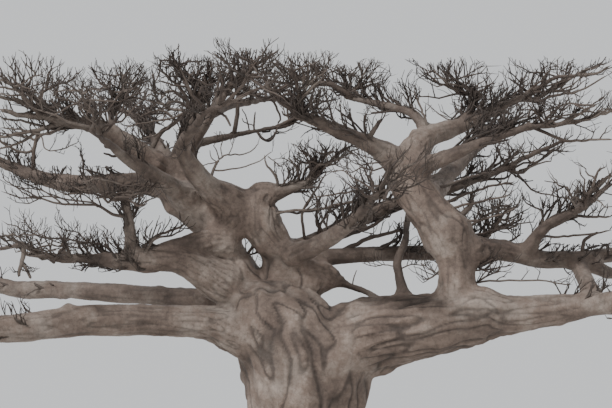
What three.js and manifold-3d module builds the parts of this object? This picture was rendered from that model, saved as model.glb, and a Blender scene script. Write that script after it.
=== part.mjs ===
// A leafless baobab: a swollen trunk with a root flare, heavy crooked boughs,
// and tiers of bare twigs that finish every bough.
// Millimetres, +Z up. The origin is the middle of the flat cut at ground level.
// The tree is seen from -Y: x runs to the right, y runs away from the viewer.

import * as THREE from "three";
import Module from "manifold-3d";

const wasm = await Module();
wasm.setup();

// Spaces between solids
const SEAT_GAP = 0.3; // between a limb and what carries it
const TWIG_CLEARANCE = 12; // between a twig and any limb or twig of another node

// Facets
const THICK_BOUGH = 500; // half thickness from which a bough is thick
const THICK_BOUGH_SIDES = 9;
const THIN_BOUGH = 330; // half thickness under which a bough is thin
const THIN_BOUGH_SIDES = 6;
const BOUGH_SIDES = 7;
const RINGS_PER_SPAN = 2; // rings of a bough between two of its bends
const STEM_SIDES = 4;
const STEM_RINGS = 4;
const TWIG_SIDES = 3;

// Trunk: height of each ring, x of its middle, and half width
const TRUNK_SIDES = 28;
const TRUNK_RINGS = [
  [0, 50, 2620],
  [260, 50, 2420],
  [800, 30, 2080],
  [1600, 0, 1860],
  [2600, -20, 1790],
  [3500, 50, 1960],
  [4300, 0, 2160],
  [5000, -330, 2120],
  [5700, -800, 1900],
  [6300, -1120, 1560],
  [6700, -1250, 1060],
];
const TRUNK_TOP = 6850;
const ROOT_LOBES = 7; // buttress swellings round the foot
const ROOT_LOBE_DEPTH = 0.11; // of the half width, at the ground
const ROOT_LOBE_HEIGHT = 1900; // where the swellings have died out
const ROOT_LOBE_TURN = 0.6; // radians
const FOLDS = 4; // shallow upright folds higher up
const FOLD_DEPTH = 0.035;
const FOLD_TWIST_HEIGHT = 2600; // height in which the folds turn by one radian

// Boughs, each after what carries it, with its bends from root to tip:
// x, y, z and the half thickness there. The root bend lies inside the carrier.
const BOUGHS = [
  { name: "leader_left", bends: [
    [-1950, 100, 6300, 760], [-2650, 200, 7600, 570], [-2950, 100, 8600, 660],
    [-4000, -100, 9600, 730], [-4550, -300, 10250, 560]] },
  { name: "bough_right_low", bends: [
    [1000, -300, 4700, 1150], [2200, -500, 5100, 1080], [4250, -900, 5450, 1000],
    [5550, -1100, 5700, 900], [6600, -1250, 5700, 620], [8700, -1400, 5950, 430],
    [10200, -2300, 6150, 350], [11700, -3400, 6500, 260]] },
  { name: "leader_right", bends: [
    [4750, -1050, 6100, 500], [4750, -1050, 7300, 520], [4500, -1000, 8150, 860],
    [3950, -950, 8900, 670], [3400, -900, 9700, 650], [3000, -900, 10600, 600]] },
  { name: "bough_left_low", bends: [
    [-1400, -400, 4900, 760], [-3400, -900, 5450, 500], [-6600, -1900, 5500, 500],
    [-9800, -3100, 5200, 430], [-11500, -3700, 5350, 330]] },
  { name: "bough_left_back", bends: [
    [-2200, 400, 6000, 420], [-3900, 1200, 6250, 320], [-7800, 3300, 6550, 290],
    [-9500, 4200, 6600, 265], [-11200, 5000, 7100, 200]] },
  { name: "bough_left_mid", bends: [
    [-2300, -300, 6500, 560], [-4050, -1200, 7400, 410], [-5200, -1700, 7420, 400],
    [-6150, -2100, 7400, 280], [-7000, -2450, 7450, 150]] },
  { name: "bough_left_riser", bends: [
    [-5600, -1900, 7500, 170], [-5650, -1950, 8500, 165], [-5750, -2100, 9150, 145]] },
  { name: "bough_left_high", bends: [
    [-4300, 50, 9850, 350], [-5700, 600, 9950, 320], [-7800, 1300, 9950, 270],
    [-9400, 2200, 10450, 180], [-10600, 2800, 11000, 130]] },
  { name: "bough_left_top", bends: [
    [-4500, -400, 10050, 430], [-5000, -700, 10500, 400], [-6500, -1600, 11600, 280],
    [-7250, -2000, 11800, 190], [-8050, -2400, 11950, 130]] },
  { name: "bough_left_top_inner", bends: [
    [-6050, -1300, 11250, 130], [-6250, -1000, 11950, 110], [-6000, -700, 12400, 85]] },
  { name: "bough_crown_left", bends: [
    [-4150, -150, 10000, 330], [-3900, 0, 11300, 270], [-3600, 200, 12250, 190],
    [-3400, 300, 12800, 150]] },
  { name: "bough_crown_mid", bends: [
    [-3850, -100, 10950, 210], [-3400, -500, 11600, 200], [-2950, -900, 12300, 165],
    [-2600, -1200, 12800, 135]] },
  { name: "bough_crown_back", bends: [
    [-3900, 100, 11100, 170], [-2250, 900, 11500, 100], [-1000, 1500, 11750, 75]] },
  { name: "bough_centre", bends: [
    [-600, 100, 6300, 800], [-950, -200, 7700, 420], [-1450, -350, 8600, 600],
    [-1450, -450, 9400, 560], [-850, -550, 9650, 260], [-150, -650, 9850, 130],
    [250, -700, 10150, 90]] },
  { name: "bough_front_centre", bends: [
    [-2750, -100, 8200, 520], [-2300, -450, 9150, 600], [-3250, -1300, 9850, 380],
    [-3950, -2850, 10950, 230], [-3450, -4300, 11700, 140]] },
  { name: "bough_front_left", bends: [
    [-3700, -300, 9300, 360], [-4700, -2000, 10000, 270], [-5700, -3600, 10600, 190],
    [-6200, -4700, 11000, 130]] },
  { name: "bough_front_right", bends: [
    [-900, -200, 7400, 340], [300, -1600, 7900, 300], [1300, -3000, 8500, 230],
    [1900, -4400, 9100, 140]] },
  { name: "bough_back_left", bends: [
    [-3700, 0, 9500, 330], [-4300, 1700, 10500, 240], [-4900, 3300, 11400, 170],
    [-5300, 4500, 11900, 120]] },
  { name: "bough_back_centre", bends: [
    [-3800, 300, 9900, 400], [-3900, 1700, 11100, 300], [-3400, 3300, 12000, 220],
    [-2600, 4900, 12550, 160], [-2000, 5900, 12700, 130]] },
  { name: "bough_back_right", bends: [
    [3750, -700, 9300, 400], [4500, 1300, 10200, 290], [5300, 3400, 11000, 200],
    [5900, 4900, 11500, 130]] },
  { name: "bough_back_low", bends: [
    [-300, 900, 4900, 640], [-400, 3200, 5500, 470], [-700, 5400, 5700, 330],
    [-900, 7100, 5900, 200]] },
  { name: "bough_right_cross", bends: [
    [-700, 0, 7600, 340], [350, 700, 8100, 290], [2200, 2000, 9050, 255],
    [4100, 2800, 9650, 200], [6100, 3500, 10350, 100]] },
  { name: "bough_right_mid", bends: [
    [-850, 200, 7300, 340], [1050, 600, 7600, 270], [3000, 1200, 7700, 240],
    [4600, 1900, 7750, 220], [5500, 2600, 8150, 150]] },
  { name: "bough_crown_right_inner", bends: [
    [3100, -1000, 10400, 340], [2200, -1500, 11000, 280], [600, -2300, 11700, 195],
    [-100, -2700, 11950, 140]] },
  { name: "bough_right_top", bends: [
    [3200, -800, 10500, 460], [3850, -300, 11350, 370], [5200, 400, 11850, 220],
    [6200, 900, 12350, 140]] },
  { name: "bough_crown_right_over", bends: [
    [3900, -200, 11450, 200], [3400, 400, 12150, 145], [2600, 900, 12400, 135],
    [1500, 1500, 12700, 110]] },
  { name: "bough_right_top_inner", bends: [
    [4900, 300, 11750, 140], [5150, 400, 12150, 120], [5350, 500, 12500, 100]] },
  { name: "bough_right_high", bends: [
    [3300, -1000, 10300, 290], [4450, -1600, 10700, 220], [5400, -2100, 11100, 175],
    [6600, -2600, 11500, 125]] },
  { name: "bough_right_out", bends: [
    [4450, -950, 7950, 640], [5300, -750, 7720, 440], [6200, -400, 7780, 350],
    [7450, 0, 7480, 300], [8700, 300, 7500, 285], [9800, 1200, 7650, 245],
    [11200, 2700, 7900, 180]] },
  { name: "bough_right_riser", bends: [
    [6950, -150, 7600, 200], [7500, -700, 8400, 185], [8100, -1300, 8750, 160],
    [8600, -1900, 9000, 130]] },
  { name: "bough_right_link", bends: [
    [9150, -1550, 6000, 290], [8950, -700, 6650, 265], [8650, 200, 7350, 280]] },
];

// Twig masses: the bough that carries each one, the middle of its space,
// the half sizes of that space, and the seed of its twigs.
const MASSES = [
  { bough: "bough_left_low", middle: [-12500, -4600, 6200], half: [1700, 2200, 1500], seed: 11 },
  { bough: "bough_left_back", middle: [-12000, 6000, 8000], half: [1900, 2300, 1500], seed: 12 },
  { bough: "bough_left_mid", middle: [-8700, -3000, 7700], half: [2000, 1500, 950], seed: 13 },
  { bough: "bough_left_riser", middle: [-6300, -2700, 9550], half: [2600, 1500, 650], seed: 14 },
  { bough: "bough_left_high", middle: [-11600, 3400, 11400], half: [1500, 1900, 1100], seed: 15 },
  { bough: "bough_left_top", middle: [-9000, -2900, 12700], half: [1900, 1700, 1000], seed: 16 },
  { bough: "bough_left_top_inner", middle: [-5900, -500, 13000], half: [1500, 1300, 750], seed: 17 },
  { bough: "bough_crown_left", middle: [-3900, 700, 13450], half: [1500, 1500, 850], seed: 18 },
  { bough: "bough_crown_mid", middle: [-1900, -1700, 13450], half: [1500, 1500, 950], seed: 19 },
  { bough: "bough_crown_back", middle: [-100, 2100, 12300], half: [1300, 1400, 800], seed: 20 },
  { bough: "bough_centre", middle: [700, -800, 10700], half: [1700, 1200, 700], seed: 21 },
  { bough: "bough_front_centre", middle: [-2300, -5600, 12700], half: [2200, 2000, 1000], seed: 22 },
  { bough: "bough_front_left", middle: [-6800, -6200, 12200], half: [2500, 2100, 1000], seed: 23 },
  { bough: "bough_front_right", middle: [2400, -6000, 9900], half: [2400, 2200, 1300], seed: 24 },
  { bough: "bough_back_left", middle: [-5700, 6100, 12500], half: [2600, 2200, 1200], seed: 25 },
  { bough: "bough_back_centre", middle: [-900, 7500, 13200], half: [2600, 2100, 950], seed: 26 },
  { bough: "bough_back_right", middle: [6300, 6500, 12100], half: [2700, 2300, 1300], seed: 27 },
  { bough: "bough_back_low", middle: [-1200, 8700, 6500], half: [1900, 2000, 1300], seed: 28 },
  { bough: "bough_right_cross", middle: [7300, 3900, 10600], half: [1600, 1600, 1000], seed: 29 },
  { bough: "bough_right_mid", middle: [6200, 3300, 8900], half: [1500, 1500, 850], seed: 30 },
  { bough: "bough_right_low", middle: [12700, -4400, 7400], half: [1700, 2200, 1500], seed: 31 },
  { bough: "bough_crown_right_inner", middle: [-300, -3100, 12900], half: [1700, 1400, 1050], seed: 32 },
  { bough: "bough_right_top", middle: [8000, 1300, 13100], half: [2200, 1700, 1000], seed: 33 },
  { bough: "bough_crown_right_over", middle: [1300, 2100, 13200], half: [1900, 1500, 750], seed: 34 },
  { bough: "bough_right_top_inner", middle: [4700, 900, 13100], half: [1900, 1300, 900], seed: 35 },
  { bough: "bough_right_high", middle: [8300, -3200, 11900], half: [2100, 1700, 850], seed: 36 },
  { bough: "bough_right_out", middle: [12200, 3700, 8800], half: [1800, 2200, 1400], seed: 37 },
  { bough: "bough_right_riser", middle: [9000, -2700, 9700], half: [1700, 1500, 1150], seed: 38 },
];

// The rule by which twigs branch. Pairs are the least and the most of a seeded draw.
const STEM = {
  knee: 0.35, // of the way to the middle, straight on from its bough
  waist: 0.75, // of the way to the middle
  sag: 0.15, // of the half height
  out: 0.55, // how far its tip goes past the middle, of the half sizes
  rise: 0.6, // of the half height
  tip: 30, // half thickness
};
const BRANCH = {
  count: 8, // on each stem
  roots: [0.3, 0.95], // where the first and last leave the stem
  turn: 2.4, // from one to the next, in radians
  sway: [0, 0.8],
  reach: [0.6, 0.95], // of the half sizes
  height: 0.95, // of the half height, less the droop
  droop: [0, 0.9],
  thickness: 0.6, // of the stem where it leaves
  thinnest: 35,
};
const TWIG = {
  root: 0.6, // how far out its branch carries it
  sway: [-1.1, 1.1],
  rise: [0.3, 1.2],
  length: [0.35, 0.6], // of its branch
  thickness: 0.8, // of its branch where it leaves
  thickest: 34,
};
const CROOK = {
  bend: [0.5, 0.65], // where a branch is bent
  sway: [-0.08, 0.08], // of its length
  sag: [0, 0.13], // of its length
  thickness: 0.62, // of its root
};
const ATTEMPTS = 8; // draws for a branch or twig before its place stays empty
const SPACE_POWER = 3; // how square the space of a mass is

// The bark of trunk and boughs
function barkMaterial() {
  return new THREE.MeshStandardMaterial({ color: 0x6f5d52, roughness: 0.9, metalness: 0 });
}

// The smoother, darker bark of the twigs
function twigMaterial() {
  return new THREE.MeshStandardMaterial({ color: 0x5a483f, roughness: 0.85, metalness: 0 });
}

// Draws that are the same on every run, between the two numbers of a pair.
function seededDraws(seed) {
  const modulus = 2147483647;
  const multiplier = 16807;
  const scatter = 7919;
  let state = (seed * scatter) % modulus;
  return ([least, most]) => {
    state = (state * multiplier) % modulus;
    return least + (most - least) * (state / modulus);
  };
}

// A solid from rings of points. A first or last ring may be a single point.
function skin(rings) {
  const points = [];
  const triangles = [];
  const starts = [];
  for (const ring of rings) {
    starts.push(points.length);
    points.push(...ring);
  }
  for (let i = 0; i + 1 < rings.length; i++) {
    const [low, high] = [rings[i].length, rings[i + 1].length];
    const count = Math.max(low, high);
    for (let k = 0; k < count; k++) {
      const next = (k + 1) % count;
      const [a, b] = [starts[i] + (k % low), starts[i] + (next % low)];
      const [c, d] = [starts[i + 1] + (k % high), starts[i + 1] + (next % high)];
      if (low > 1) triangles.push(a, b, d);
      if (high > 1) triangles.push(a, d, c);
    }
  }
  const foot = rings[0].length;
  for (let k = 1; k + 1 < foot; k++) triangles.push(0, k + 1, k);
  const top = starts[starts.length - 1];
  const head = rings[rings.length - 1].length;
  for (let k = 1; k + 1 < head; k++) triangles.push(top, top + k, top + k + 1);

  const vertProperties = new Float32Array(points.length * 3);
  points.forEach((point, i) => point.toArray(vertProperties, i * 3));
  const mesh = new wasm.Mesh({ numProp: 3, vertProperties, triVerts: new Uint32Array(triangles) });
  return new wasm.Manifold(mesh);
}

// Rings of a tube, square to the axis at each centre.
function tubeRings(centres, axes, radii, sides) {
  const steep = Math.abs(axes[0].z) > 0.9;
  let side = steep ? new THREE.Vector3(1, 0, 0) : new THREE.Vector3(0, 0, 1);
  return centres.map((centre, i) => {
    if (radii[i] === 0) return [centre];
    side = side.clone().addScaledVector(axes[i], -side.dot(axes[i])).normalize();
    const across = new THREE.Vector3().crossVectors(axes[i], side);
    return Array.from({ length: sides }, (_, k) => {
      const angle = (2 * Math.PI * k) / sides;
      return centre.clone()
        .addScaledVector(side, radii[i] * Math.cos(angle))
        .addScaledVector(across, radii[i] * Math.sin(angle));
    });
  });
}

// Centres, axes and half thicknesses along a smooth line through bends.
function sampleLine(bends, rings) {
  const points = bends.map(([x, y, z]) => new THREE.Vector3(x, y, z));
  const line = new THREE.CatmullRomCurve3(points, false, "catmullrom", 0.5);
  const spans = bends.length - 1;
  const sample = { centres: [], axes: [], radii: [] };
  for (let i = 0; i < rings; i++) {
    const t = i / (rings - 1);
    const span = Math.min(Math.floor(t * spans), spans - 1);
    sample.centres.push(line.getPoint(t));
    sample.axes.push(line.getTangent(t));
    sample.radii.push(THREE.MathUtils.lerp(bends[span][3], bends[span + 1][3], t * spans - span));
  }
  return sample;
}

// The trunk, grown on all sides by the gap that a bough's root keeps to it.
function trunkSolid(grow) {
  const rings = [[new THREE.Vector3(TRUNK_RINGS[0][1], 0, -grow)]];
  TRUNK_RINGS.forEach(([height, middle, halfWidth], row) => {
    const foot = Math.max(0, 1 - height / ROOT_LOBE_HEIGHT);
    rings.push(Array.from({ length: TRUNK_SIDES }, (_, k) => {
      const angle = (2 * Math.PI * k) / TRUNK_SIDES;
      const lobe = ROOT_LOBE_DEPTH * foot * Math.cos(ROOT_LOBES * angle + ROOT_LOBE_TURN);
      const fold = FOLD_DEPTH * (1 - foot) * Math.cos(FOLDS * angle + height / FOLD_TWIST_HEIGHT);
      const radius = halfWidth * (1 + lobe + fold) + grow;
      const z = row === 0 ? -grow : height;
      return new THREE.Vector3(middle + radius * Math.cos(angle), radius * Math.sin(angle), z);
    }));
  });
  rings.push([new THREE.Vector3(TRUNK_RINGS[TRUNK_RINGS.length - 1][1], 0, TRUNK_TOP + grow)]);
  return skin(rings);
}

function boughSample(bough) {
  return sampleLine(bough.bends, (bough.bends.length - 1) * RINGS_PER_SPAN + 1);
}

function boughSides({ bends }) {
  const rootRadius = bends[0][3];
  if (rootRadius > THICK_BOUGH) return THICK_BOUGH_SIDES;
  return rootRadius < THIN_BOUGH ? THIN_BOUGH_SIDES : BOUGH_SIDES;
}

function boughSolid(bough, grow) {
  const { centres, axes, radii } = boughSample(bough);
  const last = centres.length - 1;
  const reach = centres.slice();
  reach[0] = centres[0].clone().addScaledVector(axes[0], -grow);
  reach[last] = centres[last].clone().addScaledVector(axes[last], grow);
  return skin(tubeRings(reach, axes, radii.map((radius) => radius + grow), boughSides(bough)));
}

// The largest body of a solid, without loose scraps or sealed hollows.
function mainBody(solid) {
  const bodies = solid.decompose();
  return bodies.reduce((best, body) => (body.volume() > best.volume() ? body : best));
}

// Shortest distance between two straight pieces of limb, from a to b.
function pieceDistance(p, q) {
  const alongP = p.b.clone().sub(p.a);
  const alongQ = q.b.clone().sub(q.a);
  const apart = p.a.clone().sub(q.a);
  const pp = alongP.dot(alongP);
  const qq = alongQ.dot(alongQ);
  const pq = alongP.dot(alongQ);
  const pApart = alongP.dot(apart);
  const qApart = alongQ.dot(apart);
  const spread = pp * qq - pq * pq;
  const clamp = (share) => THREE.MathUtils.clamp(share, 0, 1);
  const parallel = spread < 1e-6 * pp * qq;
  let onP = parallel ? 0 : clamp((pq * qApart - pApart * qq) / spread);
  const onQ = clamp((pq * onP + qApart) / qq);
  onP = clamp((pq * onQ - pApart) / pp);
  const nearP = p.a.clone().addScaledVector(alongP, onP);
  return nearP.distanceTo(q.a.clone().addScaledVector(alongQ, onQ));
}

// The straight pieces of a sampled limb, each with its thickest half thickness.
function pieces(sample) {
  return sample.centres.slice(1).map((b, i) => ({
    a: sample.centres[i],
    b,
    radius: Math.max(sample.radii[i], sample.radii[i + 1]),
  }));
}

function touches(piece, obstacles) {
  return obstacles.some((other) => {
    return pieceDistance(piece, other) < piece.radius + other.radius + TWIG_CLEARANCE;
  });
}

function insideSpace(point, { middle, half }) {
  const shares = point.toArray().map((value, i) => Math.abs(value - middle[i]) / half[i]);
  return shares.reduce((sum, share) => sum + share ** SPACE_POWER, 0) <= 1;
}

// The stem runs on from its bough, through the middle of the space and up.
function stemSample(bough, { middle, half }) {
  const end = boughSample(bough);
  const last = end.centres.length - 1;
  const centre = new THREE.Vector3(...middle);
  const seat = end.centres[last].clone().addScaledVector(end.axes[last], SEAT_GAP);
  const knee = seat.clone().addScaledVector(end.axes[last], STEM.knee * seat.distanceTo(centre));
  const waist = seat.clone().lerp(centre, STEM.waist);
  waist.z -= STEM.sag * half[2];
  const out = centre.clone().sub(seat).normalize();
  const tip = centre.clone().add(new THREE.Vector3(
    STEM.out * half[0] * out.x, STEM.out * half[1] * out.y, STEM.rise * half[2]));
  const bends = [seat, knee, waist, tip].map((point, i) => {
    return [...point.toArray(), THREE.MathUtils.lerp(end.radii[last], STEM.tip, i / 3)];
  });
  return sampleLine(bends, STEM_RINGS);
}

// A crooked branch: root, bend and a tip that turns upward.
function branchSample(root, mass, turn, draw) {
  const angle = turn + draw(BRANCH.sway);
  const reach = draw(BRANCH.reach);
  const [x, y, z] = mass.middle;
  const tip = new THREE.Vector3(
    x + mass.half[0] * reach * Math.cos(angle),
    y + mass.half[1] * reach * Math.sin(angle),
    z + mass.half[2] * (BRANCH.height - reach * draw(BRANCH.droop)));
  const length = root.point.distanceTo(tip);
  const bend = root.point.clone().lerp(tip, draw(CROOK.bend));
  bend.x += length * draw(CROOK.sway);
  bend.y += length * draw(CROOK.sway);
  bend.z -= length * draw(CROOK.sag);
  const start = bend.clone().sub(root.point).normalize();
  const end = tip.clone().sub(bend).normalize();
  const radius = Math.max(BRANCH.thinnest, root.radius * BRANCH.thickness);
  return {
    centres: [root.point, bend, tip],
    axes: [start, start.clone().add(end).normalize(), end],
    radii: [radius, radius * CROOK.thickness, 0],
  };
}

// A straight twig that forks from a branch and leans upward.
function twigSample(fork, branchLength, draw) {
  const lean = new THREE.Vector3(draw(TWIG.sway), draw(TWIG.sway), draw(TWIG.rise));
  const axis = fork.axis.clone().add(lean).normalize();
  const tip = fork.point.clone().addScaledVector(axis, branchLength * draw(TWIG.length));
  const radius = Math.min(TWIG.thickest, fork.radius * TWIG.thickness);
  return { centres: [fork.point, tip], axes: [axis, axis], radii: [radius, 0] };
}

// Where a sampled limb is at a share of its rings.
function placeOn(sample, share) {
  const spans = sample.centres.length - 1;
  const span = Math.min(Math.floor(share * spans), spans - 1);
  const rest = share * spans - span;
  const [near, far] = [sample.centres[span], sample.centres[span + 1]];
  return {
    point: near.clone().lerp(far, rest),
    axis: far.clone().sub(near).normalize(),
    radius: THREE.MathUtils.lerp(sample.radii[span], sample.radii[span + 1], rest),
  };
}

// The limbs of a mass: one stem, branches round it, and a twig on each branch.
// A draw that would leave the space or touch another limb is skipped.
function growMass(bough, mass, obstacles) {
  const draw = seededDraws(mass.seed);
  const stem = stemSample(bough, mass);
  const limbs = [stem];
  const grow = (makeSample) => {
    for (let attempt = 0; attempt < ATTEMPTS; attempt++) {
      const sample = makeSample();
      const clear = !pieces(sample).some((piece) => touches(piece, obstacles));
      if (clear && sample.centres.slice(1).every((point) => insideSpace(point, mass))) {
        limbs.push(sample);
        return sample;
      }
    }
    return null;
  };
  for (let i = 0; i < BRANCH.count; i++) {
    const share = THREE.MathUtils.lerp(...BRANCH.roots, i / (BRANCH.count - 1));
    const root = placeOn(stem, share);
    const branch = grow(() => branchSample(root, mass, i * BRANCH.turn + mass.seed, draw));
    if (!branch) continue;
    const length = branch.centres[0].distanceTo(branch.centres[2]);
    grow(() => twigSample(placeOn(branch, TWIG.root), length, draw));
  }
  return limbs;
}

function massSolid(limbs) {
  const tubes = limbs.map(({ centres, axes, radii }, i) => {
    return skin(tubeRings(centres, axes, radii, i === 0 ? STEM_SIDES : TWIG_SIDES));
  });
  return mainBody(tubes.reduce((whole, tube) => whole.add(tube)));
}

function toMesh(name, solid, material) {
  const { vertProperties, triVerts } = solid.getMesh();
  const geometry = new THREE.BufferGeometry();
  geometry.setAttribute("position", new THREE.BufferAttribute(vertProperties, 3));
  geometry.setIndex(new THREE.BufferAttribute(triVerts, 1));
  geometry.computeVertexNormals();
  const mesh = new THREE.Mesh(geometry, material);
  mesh.name = name;
  return mesh;
}

function trunkPieces() {
  return TRUNK_RINGS.slice(1).map(([height, middle, halfWidth], i) => {
    const [lowHeight, lowMiddle, lowHalfWidth] = TRUNK_RINGS[i];
    return {
      a: new THREE.Vector3(lowMiddle, 0, lowHeight),
      b: new THREE.Vector3(middle, 0, height),
      radius: Math.max(halfWidth, lowHalfWidth),
    };
  });
}

// Every bough is cut where it enters the trunk or a bough made before it, and
// a mass keeps clear of all the boughs and of the masses made before it.
function buildTree() {
  const tree = new THREE.Group();
  const cutters = [trunkSolid(SEAT_GAP)];
  const obstacles = trunkPieces();
  tree.add(toMesh("trunk", trunkSolid(0), barkMaterial()));
  for (const bough of BOUGHS) {
    const solid = cutters.reduce((rest, cutter) => rest.subtract(cutter), boughSolid(bough, 0));
    tree.add(toMesh(bough.name, mainBody(solid), barkMaterial()));
    cutters.push(boughSolid(bough, SEAT_GAP));
    obstacles.push(...pieces(boughSample(bough)));
  }
  for (const mass of MASSES) {
    const bough = BOUGHS.find(({ name }) => name === mass.bough);
    const limbs = growMass(bough, mass, obstacles);
    tree.add(toMesh(mass.bough.replace("bough", "twigs"), massSolid(limbs), twigMaterial()));
    obstacles.push(...limbs.flatMap((limb) => pieces(limb)));
  }
  return tree;
}

export default buildTree();
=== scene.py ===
# %% [markdown]
# # A leafless baobab
# A baobab in the dry season is almost all wood: a swollen trunk, boughs like
# lesser trunks, and a flat crown of bare, crooked twigs. Its solids are already
# made at true size. This lesson gives them their looks: bark with folds and
# wrinkles, and twigs that grow finer and finer.
# Lengths are in metres, z is up, and the tree is seen from the side of -y.

import math

import bmesh
import bpy
import numpy as np
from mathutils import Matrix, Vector, kdtree, noise


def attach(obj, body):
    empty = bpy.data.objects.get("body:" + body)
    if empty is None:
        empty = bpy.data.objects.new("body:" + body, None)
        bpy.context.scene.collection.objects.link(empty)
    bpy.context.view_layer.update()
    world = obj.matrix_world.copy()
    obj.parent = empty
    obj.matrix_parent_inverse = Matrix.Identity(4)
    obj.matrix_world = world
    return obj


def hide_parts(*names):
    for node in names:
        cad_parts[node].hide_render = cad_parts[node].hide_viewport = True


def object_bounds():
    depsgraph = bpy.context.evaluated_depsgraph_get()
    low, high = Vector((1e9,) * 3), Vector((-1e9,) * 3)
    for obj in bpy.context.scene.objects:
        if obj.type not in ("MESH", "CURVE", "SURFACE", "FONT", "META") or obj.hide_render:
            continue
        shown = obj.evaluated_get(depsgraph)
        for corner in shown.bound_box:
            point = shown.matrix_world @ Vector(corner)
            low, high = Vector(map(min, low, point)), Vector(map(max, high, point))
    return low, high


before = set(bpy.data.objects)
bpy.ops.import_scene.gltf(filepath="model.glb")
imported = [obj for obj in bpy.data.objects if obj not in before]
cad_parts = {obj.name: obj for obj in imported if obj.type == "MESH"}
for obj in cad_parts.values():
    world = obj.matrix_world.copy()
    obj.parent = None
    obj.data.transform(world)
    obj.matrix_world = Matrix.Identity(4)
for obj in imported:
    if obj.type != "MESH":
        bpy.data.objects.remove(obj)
cad_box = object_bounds()
print("solids:", len(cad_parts), "size:", [round(v, 2) for v in cad_box[1] - cad_box[0]])

# %% [markdown]
# ## The camera
# The tree was pictured from far away through a very long lens, so near and far
# limbs are drawn at almost the same scale. A 600 mm lens on a 36 mm sensor sees
# 3.4 degrees. One pixel of the picture is 32 mm at the trunk, which gives the
# distance. The eye is at a person's height, so the camera looks up a little.

# %% Place the camera
PICTURE_WIDTH, PICTURE_HEIGHT = 612, 408
METRES_PER_PIXEL = 0.032
TRUNK_COLUMN = 307  # picture column of the trunk's middle
GROUND_ROW = 493  # picture row of ground level, under the picture's edge
LENS, SENSOR = 600.0, 36.0
EYE_HEIGHT = 1.7
FARTHEST_DRAWN = 3000.0

camera_data = bpy.data.cameras.new("camera")
camera_data.lens = LENS
camera_data.sensor_width = SENSOR
camera_data.clip_end = FARTHEST_DRAWN
camera = bpy.data.objects.new("camera", camera_data)
bpy.context.scene.collection.objects.link(camera)
bpy.context.scene.camera = camera
middle_x = (PICTURE_WIDTH / 2 - TRUNK_COLUMN) * METRES_PER_PIXEL
middle_z = (GROUND_ROW - PICTURE_HEIGHT / 2) * METRES_PER_PIXEL
distance = PICTURE_WIDTH / 2 * METRES_PER_PIXEL * LENS / (SENSOR / 2)
camera.location = (middle_x, -distance, EYE_HEIGHT)
aim = Vector((middle_x, 0, middle_z)) - camera.location
camera.rotation_euler = aim.to_track_quat("-Z", "Y").to_euler()
looks_up = math.degrees(math.asin(aim.normalized().z))
print("camera stands", round(distance), "m away and looks up", round(looks_up, 2), "degrees")

# %% [markdown]
# ## The plan of the limbs
# Every limb is a line through a few bends: x, y, z and the half thickness there.
# They are the bends that the solids were made from, written again in metres, as
# fine limbs have to start where the coarse ones are. A list of bends is easier to
# change than a sculpted mesh. First come the leaders, which carry the crown.

# %% Bends of the leaders and the low boughs
BOUGHS = {
    "leader_left": [(-1.95, 0.1, 6.3, 0.76), (-2.65, 0.2, 7.6, 0.57), (-2.95, 0.1, 8.6, 0.66),
                    (-4, -0.1, 9.6, 0.73), (-4.55, -0.3, 10.25, 0.56)],
    "bough_right_low": [(1, -0.3, 4.7, 1.15), (2.2, -0.5, 5.1, 1.08), (4.25, -0.9, 5.45, 1),
                        (5.55, -1.1, 5.7, 0.9), (6.6, -1.25, 5.7, 0.62), (8.7, -1.4, 5.95, 0.43),
                        (10.2, -2.3, 6.15, 0.35), (11.7, -3.4, 6.5, 0.26)],
    "leader_right": [(4.75, -1.05, 6.1, 0.5), (4.75, -1.05, 7.3, 0.52), (4.5, -1, 8.15, 0.86),
                     (3.95, -0.95, 8.9, 0.67), (3.4, -0.9, 9.7, 0.65), (3, -0.9, 10.6, 0.6)],
    "bough_left_low": [(-1.4, -0.4, 4.9, 0.76), (-3.4, -0.9, 5.45, 0.5), (-6.6, -1.9, 5.5, 0.5),
                       (-9.8, -3.1, 5.2, 0.43), (-11.5, -3.7, 5.35, 0.33)],
    "bough_left_back": [(-2.2, 0.4, 6, 0.42), (-3.9, 1.2, 6.25, 0.32), (-7.8, 3.3, 6.55, 0.29),
                        (-9.5, 4.2, 6.6, 0.265), (-11.2, 5, 7.1, 0.2)],
}
print("leaders and low boughs:", len(BOUGHS))

# %% [markdown]
# ### Left boughs and crown boughs
# Three left boughs lie one over the other. A small upright one stands on the
# lowest of them and one on the highest. Three more rise over the left leader.

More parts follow.
